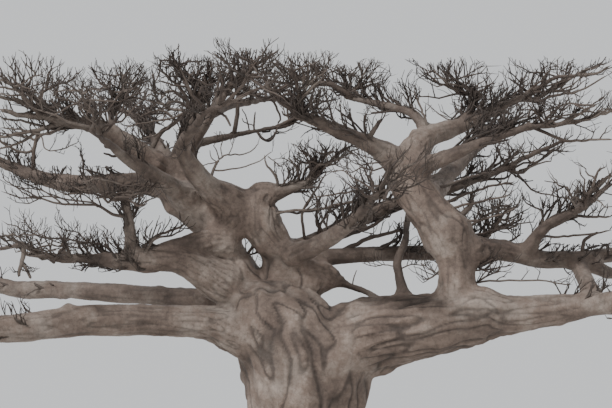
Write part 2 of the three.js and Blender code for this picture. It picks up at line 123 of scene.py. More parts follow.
# %% Bends of the left boughs and the crown boughs
BOUGHS |= {
    "bough_left_mid": [(-2.3, -0.3, 6.5, 0.56), (-4.05, -1.2, 7.4, 0.41), (-5.2, -1.7, 7.42, 0.4),
                       (-6.15, -2.1, 7.4, 0.28), (-7, -2.45, 7.45, 0.15)],
    "bough_left_riser": [(-5.6, -1.9, 7.5, 0.17), (-5.65, -1.95, 8.5, 0.165), (-5.75, -2.1, 9.15, 0.145)],
    "bough_left_high": [(-4.3, 0.05, 9.85, 0.35), (-5.7, 0.6, 9.95, 0.32), (-7.8, 1.3, 9.95, 0.27),
                        (-9.4, 2.2, 10.45, 0.18), (-10.6, 2.8, 11, 0.13)],
    "bough_left_top": [(-4.5, -0.4, 10.05, 0.43), (-5, -0.7, 10.5, 0.4), (-6.5, -1.6, 11.6, 0.28),
                       (-7.25, -2, 11.8, 0.19), (-8.05, -2.4, 11.95, 0.13)],
    "bough_left_top_inner": [(-6.05, -1.3, 11.25, 0.13), (-6.25, -1, 11.95, 0.11), (-6, -0.7, 12.4, 0.085)],
    "bough_crown_left": [(-4.15, -0.15, 10, 0.33), (-3.9, 0, 11.3, 0.27), (-3.6, 0.2, 12.25, 0.19),
                         (-3.4, 0.3, 12.8, 0.15)],
    "bough_crown_mid": [(-3.85, -0.1, 10.95, 0.21), (-3.4, -0.5, 11.6, 0.2), (-2.95, -0.9, 12.3, 0.165),
                        (-2.6, -1.2, 12.8, 0.135)],
    "bough_crown_back": [(-3.9, 0.1, 11.1, 0.17), (-2.25, 0.9, 11.5, 0.1), (-1, 1.5, 11.75, 0.075)],
}
print("boughs so far:", len(BOUGHS))

# %% [markdown]
# ### Middle, front and back boughs
# A crown is round from above, so boughs go to the front and to the back too, at
# places where they hide nothing.

# %% Bends of the middle, front and back boughs
BOUGHS |= {
    "bough_centre": [(-0.6, 0.1, 6.3, 0.8), (-0.95, -0.2, 7.7, 0.42), (-1.45, -0.35, 8.6, 0.6),
                     (-1.45, -0.45, 9.4, 0.56), (-0.85, -0.55, 9.65, 0.26), (-0.15, -0.65, 9.85, 0.13),
                     (0.25, -0.7, 10.15, 0.09)],
    "bough_front_centre": [(-2.75, -0.1, 8.2, 0.52), (-2.3, -0.45, 9.15, 0.6), (-3.25, -1.3, 9.85, 0.38),
                           (-3.95, -2.85, 10.95, 0.23), (-3.45, -4.3, 11.7, 0.14)],
    "bough_front_left": [(-3.7, -0.3, 9.3, 0.36), (-4.7, -2, 10, 0.27), (-5.7, -3.6, 10.6, 0.19),
                         (-6.2, -4.7, 11, 0.13)],
    "bough_front_right": [(-0.9, -0.2, 7.4, 0.34), (0.3, -1.6, 7.9, 0.3), (1.3, -3, 8.5, 0.23),
                          (1.9, -4.4, 9.1, 0.14)],
    "bough_back_left": [(-3.7, 0, 9.5, 0.33), (-4.3, 1.7, 10.5, 0.24), (-4.9, 3.3, 11.4, 0.17),
                        (-5.3, 4.5, 11.9, 0.12)],
    "bough_back_centre": [(-3.8, 0.3, 9.9, 0.4), (-3.9, 1.7, 11.1, 0.3), (-3.4, 3.3, 12, 0.22),
                          (-2.6, 4.9, 12.55, 0.16), (-2, 5.9, 12.7, 0.13)],
    "bough_back_right": [(3.75, -0.7, 9.3, 0.4), (4.5, 1.3, 10.2, 0.29), (5.3, 3.4, 11, 0.2),
                         (5.9, 4.9, 11.5, 0.13)],
    "bough_back_low": [(-0.3, 0.9, 4.9, 0.64), (-0.4, 3.2, 5.5, 0.47), (-0.7, 5.4, 5.7, 0.33),
                       (-0.9, 7.1, 5.9, 0.2)],
}
print("boughs so far:", len(BOUGHS))

# %% [markdown]
# ### Right boughs
# Most right boughs spread from the right leader like a fan, and two come from
# the middle and pass behind it. The last one is grown together with two others.

# %% Bends of the right boughs
BOUGHS |= {
    "bough_right_cross": [(-0.7, 0, 7.6, 0.34), (0.35, 0.7, 8.1, 0.29), (2.2, 2, 9.05, 0.255),
                          (4.1, 2.8, 9.65, 0.2), (6.1, 3.5, 10.35, 0.1)],
    "bough_right_mid": [(-0.85, 0.2, 7.3, 0.34), (1.05, 0.6, 7.6, 0.27), (3, 1.2, 7.7, 0.24),
                        (4.6, 1.9, 7.75, 0.22), (5.5, 2.6, 8.15, 0.15)],
    "bough_crown_right_inner": [(3.1, -1, 10.4, 0.34), (2.2, -1.5, 11, 0.28), (0.6, -2.3, 11.7, 0.195),
                                (-0.1, -2.7, 11.95, 0.14)],
    "bough_right_top": [(3.2, -0.8, 10.5, 0.46), (3.85, -0.3, 11.35, 0.37), (5.2, 0.4, 11.85, 0.22),
                        (6.2, 0.9, 12.35, 0.14)],
    "bough_crown_right_over": [(3.9, -0.2, 11.45, 0.2), (3.4, 0.4, 12.15, 0.145), (2.6, 0.9, 12.4, 0.135),
                               (1.5, 1.5, 12.7, 0.11)],
    "bough_right_top_inner": [(4.9, 0.3, 11.75, 0.14), (5.15, 0.4, 12.15, 0.12), (5.35, 0.5, 12.5, 0.1)],
    "bough_right_high": [(3.3, -1, 10.3, 0.29), (4.45, -1.6, 10.7, 0.22), (5.4, -2.1, 11.1, 0.175),
                         (6.6, -2.6, 11.5, 0.125)],
    "bough_right_out": [(4.45, -0.95, 7.95, 0.64), (5.3, -0.75, 7.72, 0.44), (6.2, -0.4, 7.78, 0.35),
                        (7.45, 0, 7.48, 0.3), (8.7, 0.3, 7.5, 0.285), (9.8, 1.2, 7.65, 0.245),
                        (11.2, 2.7, 7.9, 0.18)],
    "bough_right_riser": [(6.95, -0.15, 7.6, 0.2), (7.5, -0.7, 8.4, 0.185), (8.1, -1.3, 8.75, 0.16),
                          (8.6, -1.9, 9, 0.13)],
    "bough_right_link": [(9.15, -1.55, 6, 0.29), (8.95, -0.7, 6.65, 0.265), (8.65, 0.2, 7.35, 0.28)],
}
print("boughs:", len(BOUGHS), "bends:", sum(len(bends) for bends in BOUGHS.values()))

# %% [markdown]
# ### Thin limbs of the skin
# Four limbs are too thin for solids, or only fill a fork. They are part of the
# skin all the same, because their forks have to melt into the boughs' bark.

# %% Bends of the thin limbs
THIN_LINKS = {
    "link_low": [(-0.4, 0, 6.8, 0.65), (0.2, 0, 6.9, 0.5), (0.65, 0, 6.88, 0.33), (1.05, 0.05, 6.75, 0.18),
                 (1.45, 0.1, 6.58, 0.12), (1.9, 0.1, 6.42, 0.115), (2.4, 0, 6.15, 0.14)],
    "link_left": [(-2.5, -0.3, 8.1, 0.45), (-3.3, -0.7, 8.05, 0.3), (-4.2, -1.1, 7.9, 0.24),
                  (-5, -1.5, 7.7, 0.18)],
    "stub_right": [(9, 0.4, 7.4, 0.25), (9.45, 0.3, 7.15, 0.2), (9.95, 0.2, 7, 0.16),
                   (10.5, 0.1, 6.95, 0.11)],
    "link_high": [(3.15, -0.6, 6.1, 0.2), (2.95, -0.6, 6.9, 0.16), (2.9, -0.5, 7.4, 0.15),
                  (3.15, 0, 8.1, 0.13), (3.2, 0.9, 8.6, 0.11), (3.35, 2.2, 9.25, 0.11)],
}
print("thin limbs:", len(THIN_LINKS))

# %% [markdown]
# ## The spaces of the twig masses
# Most boughs end in a mass of twigs. A mass keeps to a space of its own: a
# rounded box with a middle and three half sizes. The seed fixes its twigs, so
# the same tree comes out on every run.

# %% Spaces of the masses
MASSES = {
    "left_low": ((-12.5, -4.6, 6.2), (1.7, 2.2, 1.5), 11),
    "left_back": ((-12, 6, 8), (1.9, 2.3, 1.5), 12),
    "left_mid": ((-8.7, -3, 7.7), (2, 1.5, 0.95), 13),
    "left_riser": ((-6.3, -2.7, 9.55), (2.6, 1.5, 0.65), 14),
    "left_high": ((-11.6, 3.4, 11.4), (1.5, 1.9, 1.1), 15),
    "left_top": ((-9, -2.9, 12.7), (1.9, 1.7, 1), 16),
    "left_top_inner": ((-5.9, -0.5, 13), (1.5, 1.3, 0.75), 17),
    "crown_left": ((-3.9, 0.7, 13.45), (1.5, 1.5, 0.85), 18),
    "crown_mid": ((-1.9, -1.7, 13.45), (1.5, 1.5, 0.95), 19),
    "crown_back": ((-0.1, 2.1, 12.3), (1.3, 1.4, 0.8), 20),
    "centre": ((0.7, -0.8, 10.7), (1.7, 1.2, 0.7), 21),
    "front_centre": ((-2.3, -5.6, 12.7), (2.2, 2, 1), 22),
    "front_left": ((-6.8, -6.2, 12.2), (2.5, 2.1, 1), 23),
    "front_right": ((2.4, -6, 9.9), (2.4, 2.2, 1.3), 24),
    "back_left": ((-5.7, 6.1, 12.5), (2.6, 2.2, 1.2), 25),
    "back_centre": ((-0.9, 7.5, 13.2), (2.6, 2.1, 0.95), 26),
    "back_right": ((6.3, 6.5, 12.1), (2.7, 2.3, 1.3), 27),
    "back_low": ((-1.2, 8.7, 6.5), (1.9, 2, 1.3), 28),
    "right_cross": ((7.3, 3.9, 10.6), (1.6, 1.6, 1), 29),
    "right_mid": ((6.2, 3.3, 8.9), (1.5, 1.5, 0.85), 30),
    "right_low": ((12.7, -4.4, 7.4), (1.7, 2.2, 1.5), 31),
    "crown_right_inner": ((-0.3, -3.1, 12.9), (1.7, 1.4, 1.05), 32),
    "right_top": ((8, 1.3, 13.1), (2.2, 1.7, 1), 33),
    "crown_right_over": ((1.3, 2.1, 13.2), (1.9, 1.5, 0.75), 34),
    "right_top_inner": ((4.7, 0.9, 13.1), (1.9, 1.3, 0.9), 35),
    "right_high": ((8.3, -3.2, 11.9), (2.1, 1.7, 0.85), 36),
    "right_out": ((12.2, 3.7, 8.8), (1.8, 2.2, 1.4), 37),
    "right_riser": ((9, -2.7, 9.7), (1.7, 1.5, 1.15), 38),
}
print("masses:", len(MASSES))

# %% [markdown]
# ## A smooth line through bends
# A straight line from bend to bend would look like bent pipe. This curve passes
# through every bend and turns smoothly between them, and it needs no handles, so
# a bend is only a place and a thickness.

# %% Sample a line
def sample_line(bends, rings):
    """Centres, axes and half thicknesses at evenly spaced places of a line."""
    bends = np.asarray(bends, float)
    places = bends[:, :3]
    places = np.vstack([2 * places[0] - places[1], places, 2 * places[-1] - places[-2]])
    spans = len(bends) - 1
    along = np.linspace(0, spans, rings)
    span = np.minimum(along.astype(int), spans - 1)
    u = (along - span)[:, None]
    before, near, far, after = (places[span + i] for i in range(4))
    leave, arrive = (far - before) / 2, (after - near) / 2
    centres = ((2 * u**3 - 3 * u**2 + 1) * near + (u**3 - 2 * u**2 + u) * leave
               + (3 * u**2 - 2 * u**3) * far + (u**3 - u**2) * arrive)
    slopes = ((6 * u**2 - 6 * u) * (near - far) + (3 * u**2 - 4 * u + 1) * leave
              + (3 * u**2 - 2 * u) * arrive)
    axes = slopes / np.linalg.norm(slopes, axis=1)[:, None]
    radii = bends[span, 3] * (1 - u[:, 0]) + bends[span + 1, 3] * u[:, 0]
    return centres, axes, radii


def line_length(bends):
    """Length of the straight pieces between bends."""
    places = np.asarray(bends, float)[:, :3]
    return float(np.linalg.norm(np.diff(places, axis=0), axis=1).sum())


print("longest bough:", round(max(line_length(bends) for bends in BOUGHS.values()), 1), "m")

# %% [markdown]
# ## The branching rule
# The solids' twigs follow a rule: a stem goes on from the bough's tip, branches
# leave it at a turning angle, and each branch carries a twig. A branch that would
# leave its space or touch another limb is drawn again. The same draws in the same
# order give the same branches here, and finer ones are added to them below.

# %% Numbers of the rule
RINGS_PER_SPAN = 2
STEM_RINGS = 4
SEAT_GAP = 0.0003  # between a bough's tip and its stem
TWIG_CLEARANCE = 0.012
ATTEMPTS = 8
SPACE_POWER = 3  # how square the rounded box of a mass is
STEM = {"knee": 0.35, "waist": 0.75, "sag": 0.15, "out": 0.55, "rise": 0.6, "tip": 0.03}
BRANCH = {"count": 8, "roots": (0.3, 0.95), "turn": 2.4, "sway": (0, 0.8), "reach": (0.6, 0.95),
          "height": 0.95, "droop": (0, 0.9), "thickness": 0.6, "thinnest": 0.035}
TWIG = {"root": 0.6, "sway": (-1.1, 1.1), "rise": (0.3, 1.2), "length": (0.35, 0.6),
        "thickness": 0.8, "thickest": 0.034}
CROOK = {"bend": (0.5, 0.65), "sway": (-0.08, 0.08), "sag": (0, 0.13), "thickness": 0.62}
print("branches on a stem:", BRANCH["count"], "attempts for each:", ATTEMPTS)

# %% [markdown]
# ### Draws and spaces
# A product and its remainder give the same row of draws everywhere, and the
# solids were drawn so. The space is tested with a power of each distance: power
# 2 would be an egg, and a high power a box.

# %% Draw numbers and test the space
def seeded_draws(seed):
    """Draws between the two numbers of a pair, the same on every run."""
    modulus, multiplier, scatter = 2147483647, 16807, 7919
    state = (seed * scatter) % modulus

    def draw(pair):
        nonlocal state
        state = (state * multiplier) % modulus
        return pair[0] + (pair[1] - pair[0]) * (state / modulus)

    return draw


def unit(vector):
    return vector / np.linalg.norm(vector)


def inside_space(points, middle, half, room=1.0):
    """Whether each point lies in the rounded box of a mass."""
    shares = np.abs(np.asarray(points) - middle) / (np.asarray(half) * room)
    return (shares**SPACE_POWER).sum(axis=-1) <= 1


print("first draw of seed 11:", round(seeded_draws(11)((0, 1)), 3))

# %% [markdown]
# ### Keeping limbs apart
# Twigs that grow through each other look wrong from near. Each straight piece of
# a new limb is compared with all the pieces already there, at once in numpy: the
# nearest places of two lines follow from a few products.

# %% Distance from limbs already there
PARALLEL = 1e-6  # two lines count as parallel when they spread less than this


def piece_distances(a, b, others_a, others_b):
    """Shortest distances from one straight piece to many."""
    along, along_others, apart = b - a, others_b - others_a, a - others_a
    pp = along @ along
    qq = (along_others**2).sum(axis=1)
    pq = along_others @ along
    p_apart = apart @ along
    q_apart = (along_others * apart).sum(axis=1)
    spread = pp * qq - pq**2
    parallel = spread < PARALLEL * pp * qq
    on_p = np.where(parallel, 0, (pq * q_apart - p_apart * qq) / np.where(parallel, 1, spread)).clip(0, 1)
    on_q = ((pq * on_p + q_apart) / qq).clip(0, 1)
    on_p = ((pq * on_q - p_apart) / pp).clip(0, 1)
    near_p = a + on_p[:, None] * along
    near_q = others_a + on_q[:, None] * along_others
    return np.linalg.norm(near_p - near_q, axis=1)


def pieces_of(sample):
    """The straight pieces of a limb: both ends and the thicker half thickness."""
    centres, _, radii = sample
    return centres[:-1], centres[1:], np.maximum(radii[:-1], radii[1:])


def touches(sample, obstacles):
    """Whether any piece of a limb comes too near to the limbs already there."""
    others_a, others_b, others_radius = obstacles
    return any(
        (piece_distances(a, b, others_a, others_b) < radius + others_radius + TWIG_CLEARANCE).any()
        for a, b, radius in zip(*pieces_of(sample))
    )


print("clearance between twigs:", TWIG_CLEARANCE, "m")

# %% [markdown]
# ### Stem, branch and twig
# A stem has four bends: its seat at the bough's tip, a knee that goes on in the
# bough's direction, a waist under the middle of the space, and the tip. A branch
# is crooked once, and a twig is straight. Their thickness falls to the tips.

# %% Lines of stem, branch and twig
def solid_samples(bends):
    """The samples that the solids have: two to each span between bends."""
    return sample_line(bends, (len(bends) - 1) * RINGS_PER_SPAN + 1)


def place_on(sample, share):
    """Place, axis and half thickness at a share of a limb's rings."""
    centres, _, radii = sample
    spans = len(centres) - 1
    span = min(int(share * spans), spans - 1)
    rest = share * spans - span
    near, far = centres[span], centres[span + 1]
    return near + (far - near) * rest, unit(far - near), radii[span] + (radii[span + 1] - radii[span]) * rest


def stem_bends(bough, middle, half):
    """The stem runs on from its bough, through the middle of the space and up."""
    centres, axes, radii = solid_samples(bough)
    middle, half = np.array(middle), np.array(half)
    seat = centres[-1] + axes[-1] * SEAT_GAP
    knee = seat + axes[-1] * STEM["knee"] * np.linalg.norm(seat - middle)
    waist = seat + (middle - seat) * STEM["waist"] - (0, 0, STEM["sag"] * half[2])
    out = unit(middle - seat)
    tip = middle + half * (STEM["out"] * out[0], STEM["out"] * out[1], STEM["rise"])
    thins = radii[-1] + (STEM["tip"] - radii[-1]) * np.arange(4) / 3
    return [(*point, thin) for point, thin in zip((seat, knee, waist, tip), thins)]


def branch_sample(root, middle, half, turn, draw, droop=BRANCH["droop"]):
    """A crooked branch: root, bend and a tip that turns upward."""
    point, _, stem_radius = root
    angle = turn + draw(BRANCH["sway"])
    reach = draw(BRANCH["reach"])
    height = BRANCH["height"] - reach * draw(droop)
    tip = middle + np.array(half) * (reach * math.cos(angle), reach * math.sin(angle), height)
    length = np.linalg.norm(tip - point)
    bend = point + (tip - point) * draw(CROOK["bend"])
    bend += (length * draw(CROOK["sway"]), length * draw(CROOK["sway"]), -length * draw(CROOK["sag"]))
    start, end = unit(bend - point), unit(tip - bend)
    radius = max(BRANCH["thinnest"], stem_radius * BRANCH["thickness"])
    return np.array([point, bend, tip]), np.array([start, unit(start + end), end]), np.array(
        [radius, radius * CROOK["thickness"], 0])


def twig_sample(fork, branch_length, draw):
    """A straight twig that forks from a branch and leans upward."""
    point, axis, radius = fork
    lean = np.array([draw(TWIG["sway"]), draw(TWIG["sway"]), draw(TWIG["rise"])])
    axis = unit(axis + lean)
    tip = point + axis * branch_length * draw(TWIG["length"])
    return np.array([point, tip]), np.array([axis, axis]), np.array(
        [min(TWIG["thickest"], radius * TWIG["thickness"]), 0])


stem_length = line_length(stem_bends(BOUGHS["bough_left_low"], *MASSES["left_low"][:2]))
print("stem of the first mass:", round(stem_length, 1), "m")

# %% [markdown]
# ## The trunk's outline
# The trunk swells and narrows like a bottle and spreads into buttresses at the
# foot. Its outline is a list of heights, middles and half widths. The buttresses
# are a wave round the foot that dies out upward, and shallow folds take its place.

# %% Outline of the trunk
TRUNK_RINGS = [  # height, middle in x, half width
    (0, 0.05, 2.62), (0.26, 0.05, 2.42), (0.8, 0.03, 2.08), (1.6, 0, 1.86), (2.6, -0.02, 1.79),
    (3.5, 0.05, 1.96), (4.3, 0, 2.16), (5, -0.33, 2.12), (5.7, -0.8, 1.9), (6.3, -1.12, 1.56),
    (6.7, -1.25, 1.06),
]
TRUNK_TOP = 6.85
ROOT_LOBES, ROOT_LOBE_DEPTH, ROOT_LOBE_HEIGHT, ROOT_LOBE_TURN = 7, 0.11, 1.9, 0.6
FOLDS, FOLD_DEPTH, FOLD_TWIST_HEIGHT = 4, 0.035, 2.6


def trunk_radius(height, half_width, angle):
    """Half width in one direction, with the lobes of the foot and the folds."""
    foot = max(0, 1 - height / ROOT_LOBE_HEIGHT)
    lobe = ROOT_LOBE_DEPTH * foot * np.cos(ROOT_LOBES * angle + ROOT_LOBE_TURN)
    fold = FOLD_DEPTH * (1 - foot) * np.cos(FOLDS * angle + height / FOLD_TWIST_HEIGHT)
    return half_width * (1 + lobe + fold)


print("trunk:", TRUNK_TOP, "m high and", 2 * TRUNK_RINGS[0][2], "m across at the foot")

# %% [markdown]
# ## Growing the masses
# Now the rule runs, mass after mass. Trunk and boughs are obstacles from the
# start, and the limbs of each mass become obstacles for the masses after it.

# %% Grow the masses by the rule
def grow_mass(bough, middle, half, seed, obstacles):
    """The limbs of a mass: its stem, branches round it and a twig on each branch."""
    draw = seeded_draws(seed)
    stem = sample_line(stem_bends(bough, middle, half), STEM_RINGS)
    limbs = [stem]

    def grow(make_sample):
        for _ in range(ATTEMPTS):
            sample = make_sample()
            if inside_space(sample[0][1:], middle, half).all() and not touches(sample, obstacles):
                limbs.append(sample)
                return sample
        return None

    for i in range(BRANCH["count"]):
        share = BRANCH["roots"][0] + (BRANCH["roots"][1] - BRANCH["roots"][0]) * i / (BRANCH["count"] - 1)
        root = place_on(stem, share)
        branch = grow(lambda: branch_sample(root, middle, half, i * BRANCH["turn"] + seed, draw))
        if branch is not None:
            length = np.linalg.norm(branch[0][2] - branch[0][0])
            grow(lambda: twig_sample(place_on(branch, TWIG["root"]), length, draw))
    return limbs


def with_limb(obstacles, sample):
    """The obstacles and the pieces of one more limb."""
    return tuple(np.concatenate([old, new]) for old, new in zip(obstacles, pieces_of(sample)))


rings = np.array(TRUNK_RINGS)
trunk_middles = np.column_stack([rings[:, 1], np.zeros(len(rings)), rings[:, 0]])
obstacles = pieces_of((trunk_middles, None, rings[:, 2]))
for bends in BOUGHS.values():
    obstacles = with_limb(obstacles, solid_samples(bends))
mass_limbs = {}
for name, (middle, half, seed) in MASSES.items():
    mass_limbs[name] = grow_mass(BOUGHS["bough_" + name], middle, half, seed, obstacles)
    for limb in mass_limbs[name]:
        obstacles = with_limb(obstacles, limb)
print("limbs in the masses:", sum(len(limbs) for limbs in mass_limbs.values()))

# %% [markdown]
# ## Closely sampled limbs
# The bark's mesh needs many rings to a limb, so each line is sampled again, every
# 10 cm. A limb that leaves a thicker one spreads at its root into a collar, as
# wood does where it carries weight. The limb in which a root lies deepest is its
# parent, and inside the parent the collar stays thinner than the parent's wood.

# %% Sample the limbs closely
SAMPLE_SPACING = 0.1
FEWEST_SAMPLES = 5
COLLAR = 0.38  # how much thicker a root is than its limb
COLLAR_MOST = 0.15
COLLAR_REACH = 1.1  # in half thicknesses
BURIED = 0.92  # of the parent's half thickness, the most for a root inside it
UNDER_GROUND = 0.4  # the trunk's mesh starts lower and is cut at ground level
SLEEVE = 0.35  # share of a stem that the bark of its bough runs on over
SLEEVE_FEWEST = 3
SLEEVE_END = 0.8  # of the stem's half thickness, where the sleeve ends


def close_samples(bends):
    return sample_line(bends, max(FEWEST_SAMPLES, int(line_length(bends) / SAMPLE_SPACING) + 1))


def depth_in(points, limb):
    """How far outside (or, below 0, inside) the limb's surface each point is."""
    reach = np.linalg.norm(points[:, None] - limb["centres"], axis=2) - limb["radii"]
    nearest = reach.argmin(axis=1)
    return reach[np.arange(len(points)), nearest], nearest


def trunk_limb():
    rings = np.array(TRUNK_RINGS)
    heights = np.arange(-UNDER_GROUND, TRUNK_TOP, SAMPLE_SPACING)
    middles = np.interp(heights, rings[:, 0], rings[:, 1])
    radii = np.interp(heights, rings[:, 0], rings[:, 2])
    centres = np.column_stack([middles, np.zeros(len(heights)), heights])
    return {"centres": centres, "axes": np.tile([0.0, 0, 1], (len(heights), 1)), "radii": radii}


def limb_with_collar(bends, stem, earlier):
    """A bough's samples, spread at the root, and running on over the foot of its stem."""
    centres, axes, radii = close_samples(bends)
    limb = {"centres": centres, "axes": axes, "radii": radii}
    depths = [depth_in(centres[:1], other)[0][0] for other in earlier]
    parent = earlier[int(np.argmin(depths))]
    outside, nearest = depth_in(centres, parent)
    leaves = int(np.argmax(outside > 0)) if (outside > 0).any() else 0
    past = np.maximum(0, np.arange(len(centres)) - leaves) * SAMPLE_SPACING
    spread = radii + np.minimum(COLLAR * radii, COLLAR_MOST) * np.exp(-past / (COLLAR_REACH * radii))
    room = np.where(outside < 0, np.maximum(radii, BURIED * parent["radii"][nearest]), spread)
    limb["radii"] = np.minimum(spread, room)
    if stem is not None:
        more, more_axes, thins = close_samples(stem)
        count = max(SLEEVE_FEWEST, int(SLEEVE * len(more)))
        thins = thins[1:count] * np.linspace(1, SLEEVE_END, count - 1)
        limb["centres"] = np.vstack([centres, more[1:count]])
        limb["axes"] = np.vstack([axes, more_axes[1:count]])
        limb["radii"] = np.concatenate([limb["radii"], thins])
    return limb


limbs = {"trunk": trunk_limb()}
for name, bends in (BOUGHS | THIN_LINKS).items():
    mass = MASSES.get(name.replace("bough_", ""))
    stem = stem_bends(bends, mass[0], mass[1]) if mass else None
    limbs[name] = limb_with_collar(bends, stem, list(limbs.values()))
line_centres = np.vstack([limb["centres"] for limb in limbs.values()])
line_radii = np.concatenate([limb["radii"] for limb in limbs.values()])
line_starts = np.cumsum([0] + [len(limb["radii"]) for limb in limbs.values()])
print("samples:", len(line_radii))

# %% [markdown]
# ## Rings round a line
# A limb is a tube: rings of points round a line. Its first ring faces a fixed
# way, and each next ring is turned only as much as the line turns, so the bark
# doesn't twist. Many tubes with equally many rings are worked out together with
# numpy, because thousands of twigs would take minutes as separate objects.

# %% Make rings
STEEP = 0.9  # an axis with more rise than this needs another way to face
TINY = 1e-12  # keeps a division from failing


def carried_sides(axes):
    """A side direction for each ring, carried along without twist: axes (tubes, rings, 3)."""
    steep = np.abs(axes[:, 0, 2:]) > STEEP
    side = np.where(steep, [1.0, 0, 0], [0, 0, 1.0])
    sides = np.empty_like(axes)
    for ring in range(axes.shape[1]):
        axis = axes[:, ring]
        side = side - (side * axis).sum(axis=1, keepdims=True) * axis
        side = side / np.maximum(np.linalg.norm(side, axis=1, keepdims=True), TINY)
        sides[:, ring] = side
    return sides


def line_axes(centres):
    slopes = np.gradient(centres, axis=1)
    return slopes / np.maximum(np.linalg.norm(slopes, axis=2, keepdims=True), TINY)


def tube_rings(centres, axes, radii, corners):
    """Ring points of many tubes: (tubes, rings, corners, 3)."""
    side = carried_sides(axes)
    across = np.cross(axes, side)
    angles = np.arange(corners) * 2 * np.pi / corners
    spokes = side[:, :, None] * np.cos(angles)[:, None] + across[:, :, None] * np.sin(angles)[:, None]
    return centres[:, :, None] + radii[:, :, None, None] * spokes


corner_ring = tube_rings(np.zeros((1, 2, 3)), np.array([[[0, 0, 1.0]] * 2]), np.ones((1, 2)), 4)
print("four corners of a ring:", corner_ring[0, 0].round(3).tolist())

# %% [markdown]
# ## Twigs from arrays
# A twig is closed at the root and runs out in one point, so it needs few faces.
# The faces are only lists of point numbers: the list of one tube is written once
# and shifted for all the others. Blender takes points and faces as whole arrays.

# %% Make tubes and meshes
def wall_triangles(rings, corners):
    """Two triangles for each square between neighbouring rings."""
    here = np.arange(corners)
    after = (here + 1) % corners
    ring = np.arange(rings - 1)[:, None] * corners
    squares = np.stack([ring + here, ring + after, ring + after + corners, ring + here + corners], axis=-1)
    squares = squares.reshape(-1, 4)
    return np.concatenate([squares[:, [0, 1, 2]], squares[:, [0, 2, 3]]])


def pointed_tubes(centres, radii, corners):
    """Points and triangles of many tubes that are closed at the root and end in one point."""
    count, rings, _ = centres.shape
    body = tube_rings(centres[:, :-1], line_axes(centres)[:, :-1], radii[:, :-1], corners)
    stride = (rings - 1) * corners + 1
    points = np.concatenate([body.reshape(count, stride - 1, 3), centres[:, -1:]], axis=1)
    here = np.arange(corners)
    last = (rings - 2) * corners
    tip = np.stack([last + here, last + (here + 1) % corners, np.full(corners, stride - 1)], axis=-1)
    root = np.stack([np.zeros(corners - 2, int), here[2:], here[1:-1]], axis=-1)
    faces = np.concatenate([wall_triangles(rings - 1, corners), tip, root])
    faces = np.arange(count)[:, None, None] * stride + faces
    return points.reshape(-1, 3), faces.reshape(-1, 3)


def join_arrays(parts):
    """One list of points and one of faces from several."""
    starts = np.cumsum([0] + [len(points) for points, _ in parts[:-1]])
    points = np.concatenate([points for points, _ in parts])
    faces = np.concatenate([faces + start for (_, faces), start in zip(parts, starts)])
    return points, faces


def set_all(items, name, values, kind):
    """Hands one property of all points, corners or faces to Blender."""
    items.foreach_set(name, np.ascontiguousarray(values, kind).ravel())


def make_mesh(name, points, faces):
    """An object whose mesh is written straight from arrays of points and faces."""
    mesh = bpy.data.meshes.new(name)
    mesh.vertices.add(len(points))
    set_all(mesh.vertices, "co", points, np.float32)
    mesh.loops.add(faces.size)
    set_all(mesh.loops, "vertex_index", faces, np.int32)
    mesh.polygons.add(len(faces))
    set_all(mesh.polygons, "loop_start", np.arange(0, faces.size, faces.shape[1]), np.int32)
    set_all(mesh.polygons, "use_smooth", np.ones(len(faces)), bool)
    mesh.update(calc_edges=True)
    mesh.validate()
    piece = bpy.data.objects.new(name, mesh)
    bpy.context.scene.collection.objects.link(piece)
    return piece


_, one_twig = pointed_tubes(np.zeros((1, 5, 3)), np.zeros((1, 5)), 4)
print("triangles of a twig with 5 rings of 4 corners:", len(one_twig))

# %% [markdown]
# ## One skin over trunk and boughs
# Limbs that only stick through each other leave sharp seams at the forks, and
# exact joins of so many often fail. Here the tubes become one mesh, and small
# cubes melt them into one closed skin. First come the tubes: boughs end in a
# rounded cap, and the trunk has its lobes.

# %% Close the tubes of the limbs
LIMB_CORNERS = 28
TRUNK_CORNERS = 112
CAP_TURNS = (35, 62, 82)  # degrees from the rim toward the middle of a cap, one for each of its rings
CAP_BULGE = 0.8  # of the end's half thickness


def closed_tube(rings_points):
    """A tube closed by flat ends, each end a fan round its middle."""
    rings, corners, _ = rings_points.shape
    here = np.arange(corners)
    after = (here + 1) % corners
    last = (rings - 1) * corners
    low = np.stack([here, np.full(corners, rings * corners), after], axis=-1)
    high = np.stack([last + here, last + after, np.full(corners, rings * corners + 1)], axis=-1)
    points = np.vstack([rings_points.reshape(-1, 3), rings_points[[0, -1]].mean(axis=1)])
    return points, np.concatenate([wall_triangles(rings, corners), low, high])


def rounded_end(centres, axes, radii):
    """A few more rings that close over the limb's end."""
    turns = np.radians(CAP_TURNS)
    ends = centres[-1] + np.outer(np.sin(turns) * radii[-1] * CAP_BULGE, axes[-1])
    return (np.vstack([centres, ends]), np.vstack([axes, np.tile(axes[-1], (len(turns), 1))]),
            np.concatenate([radii, radii[-1] * np.cos(turns)]))


def limb_tube(limb):
    centres, axes, radii = rounded_end(limb["centres"], limb["axes"], limb["radii"])
    return closed_tube(tube_rings(centres[None], axes[None], radii[None], LIMB_CORNERS)[0])


def trunk_tube(limb):
    angles = np.arange(TRUNK_CORNERS) * 2 * np.pi / TRUNK_CORNERS
    rings = []
    for (x, y, z), half_width in zip(limb["centres"], limb["radii"]):
        radius = trunk_radius(max(z, 0), half_width, angles)
        rings.append(np.column_stack([x + radius * np.cos(angles), y + radius * np.sin(angles),
                                      np.full(TRUNK_CORNERS, z)]))
    return closed_tube(np.array(rings))


tubes = [trunk_tube(limb) if name == "trunk" else limb_tube(limb) for name, limb in limbs.items()]
print("tubes:", len(tubes), "with", sum(len(faces) for _, faces in tubes), "triangles")

# %% [markdown]
# ### Melting the tubes together
# The remesh modifier lays a new skin of squares over the tubes. Five centimetres
# are fine enough for the skin's thinnest limbs, and squares of even size help the
# smoothing and the relief later.

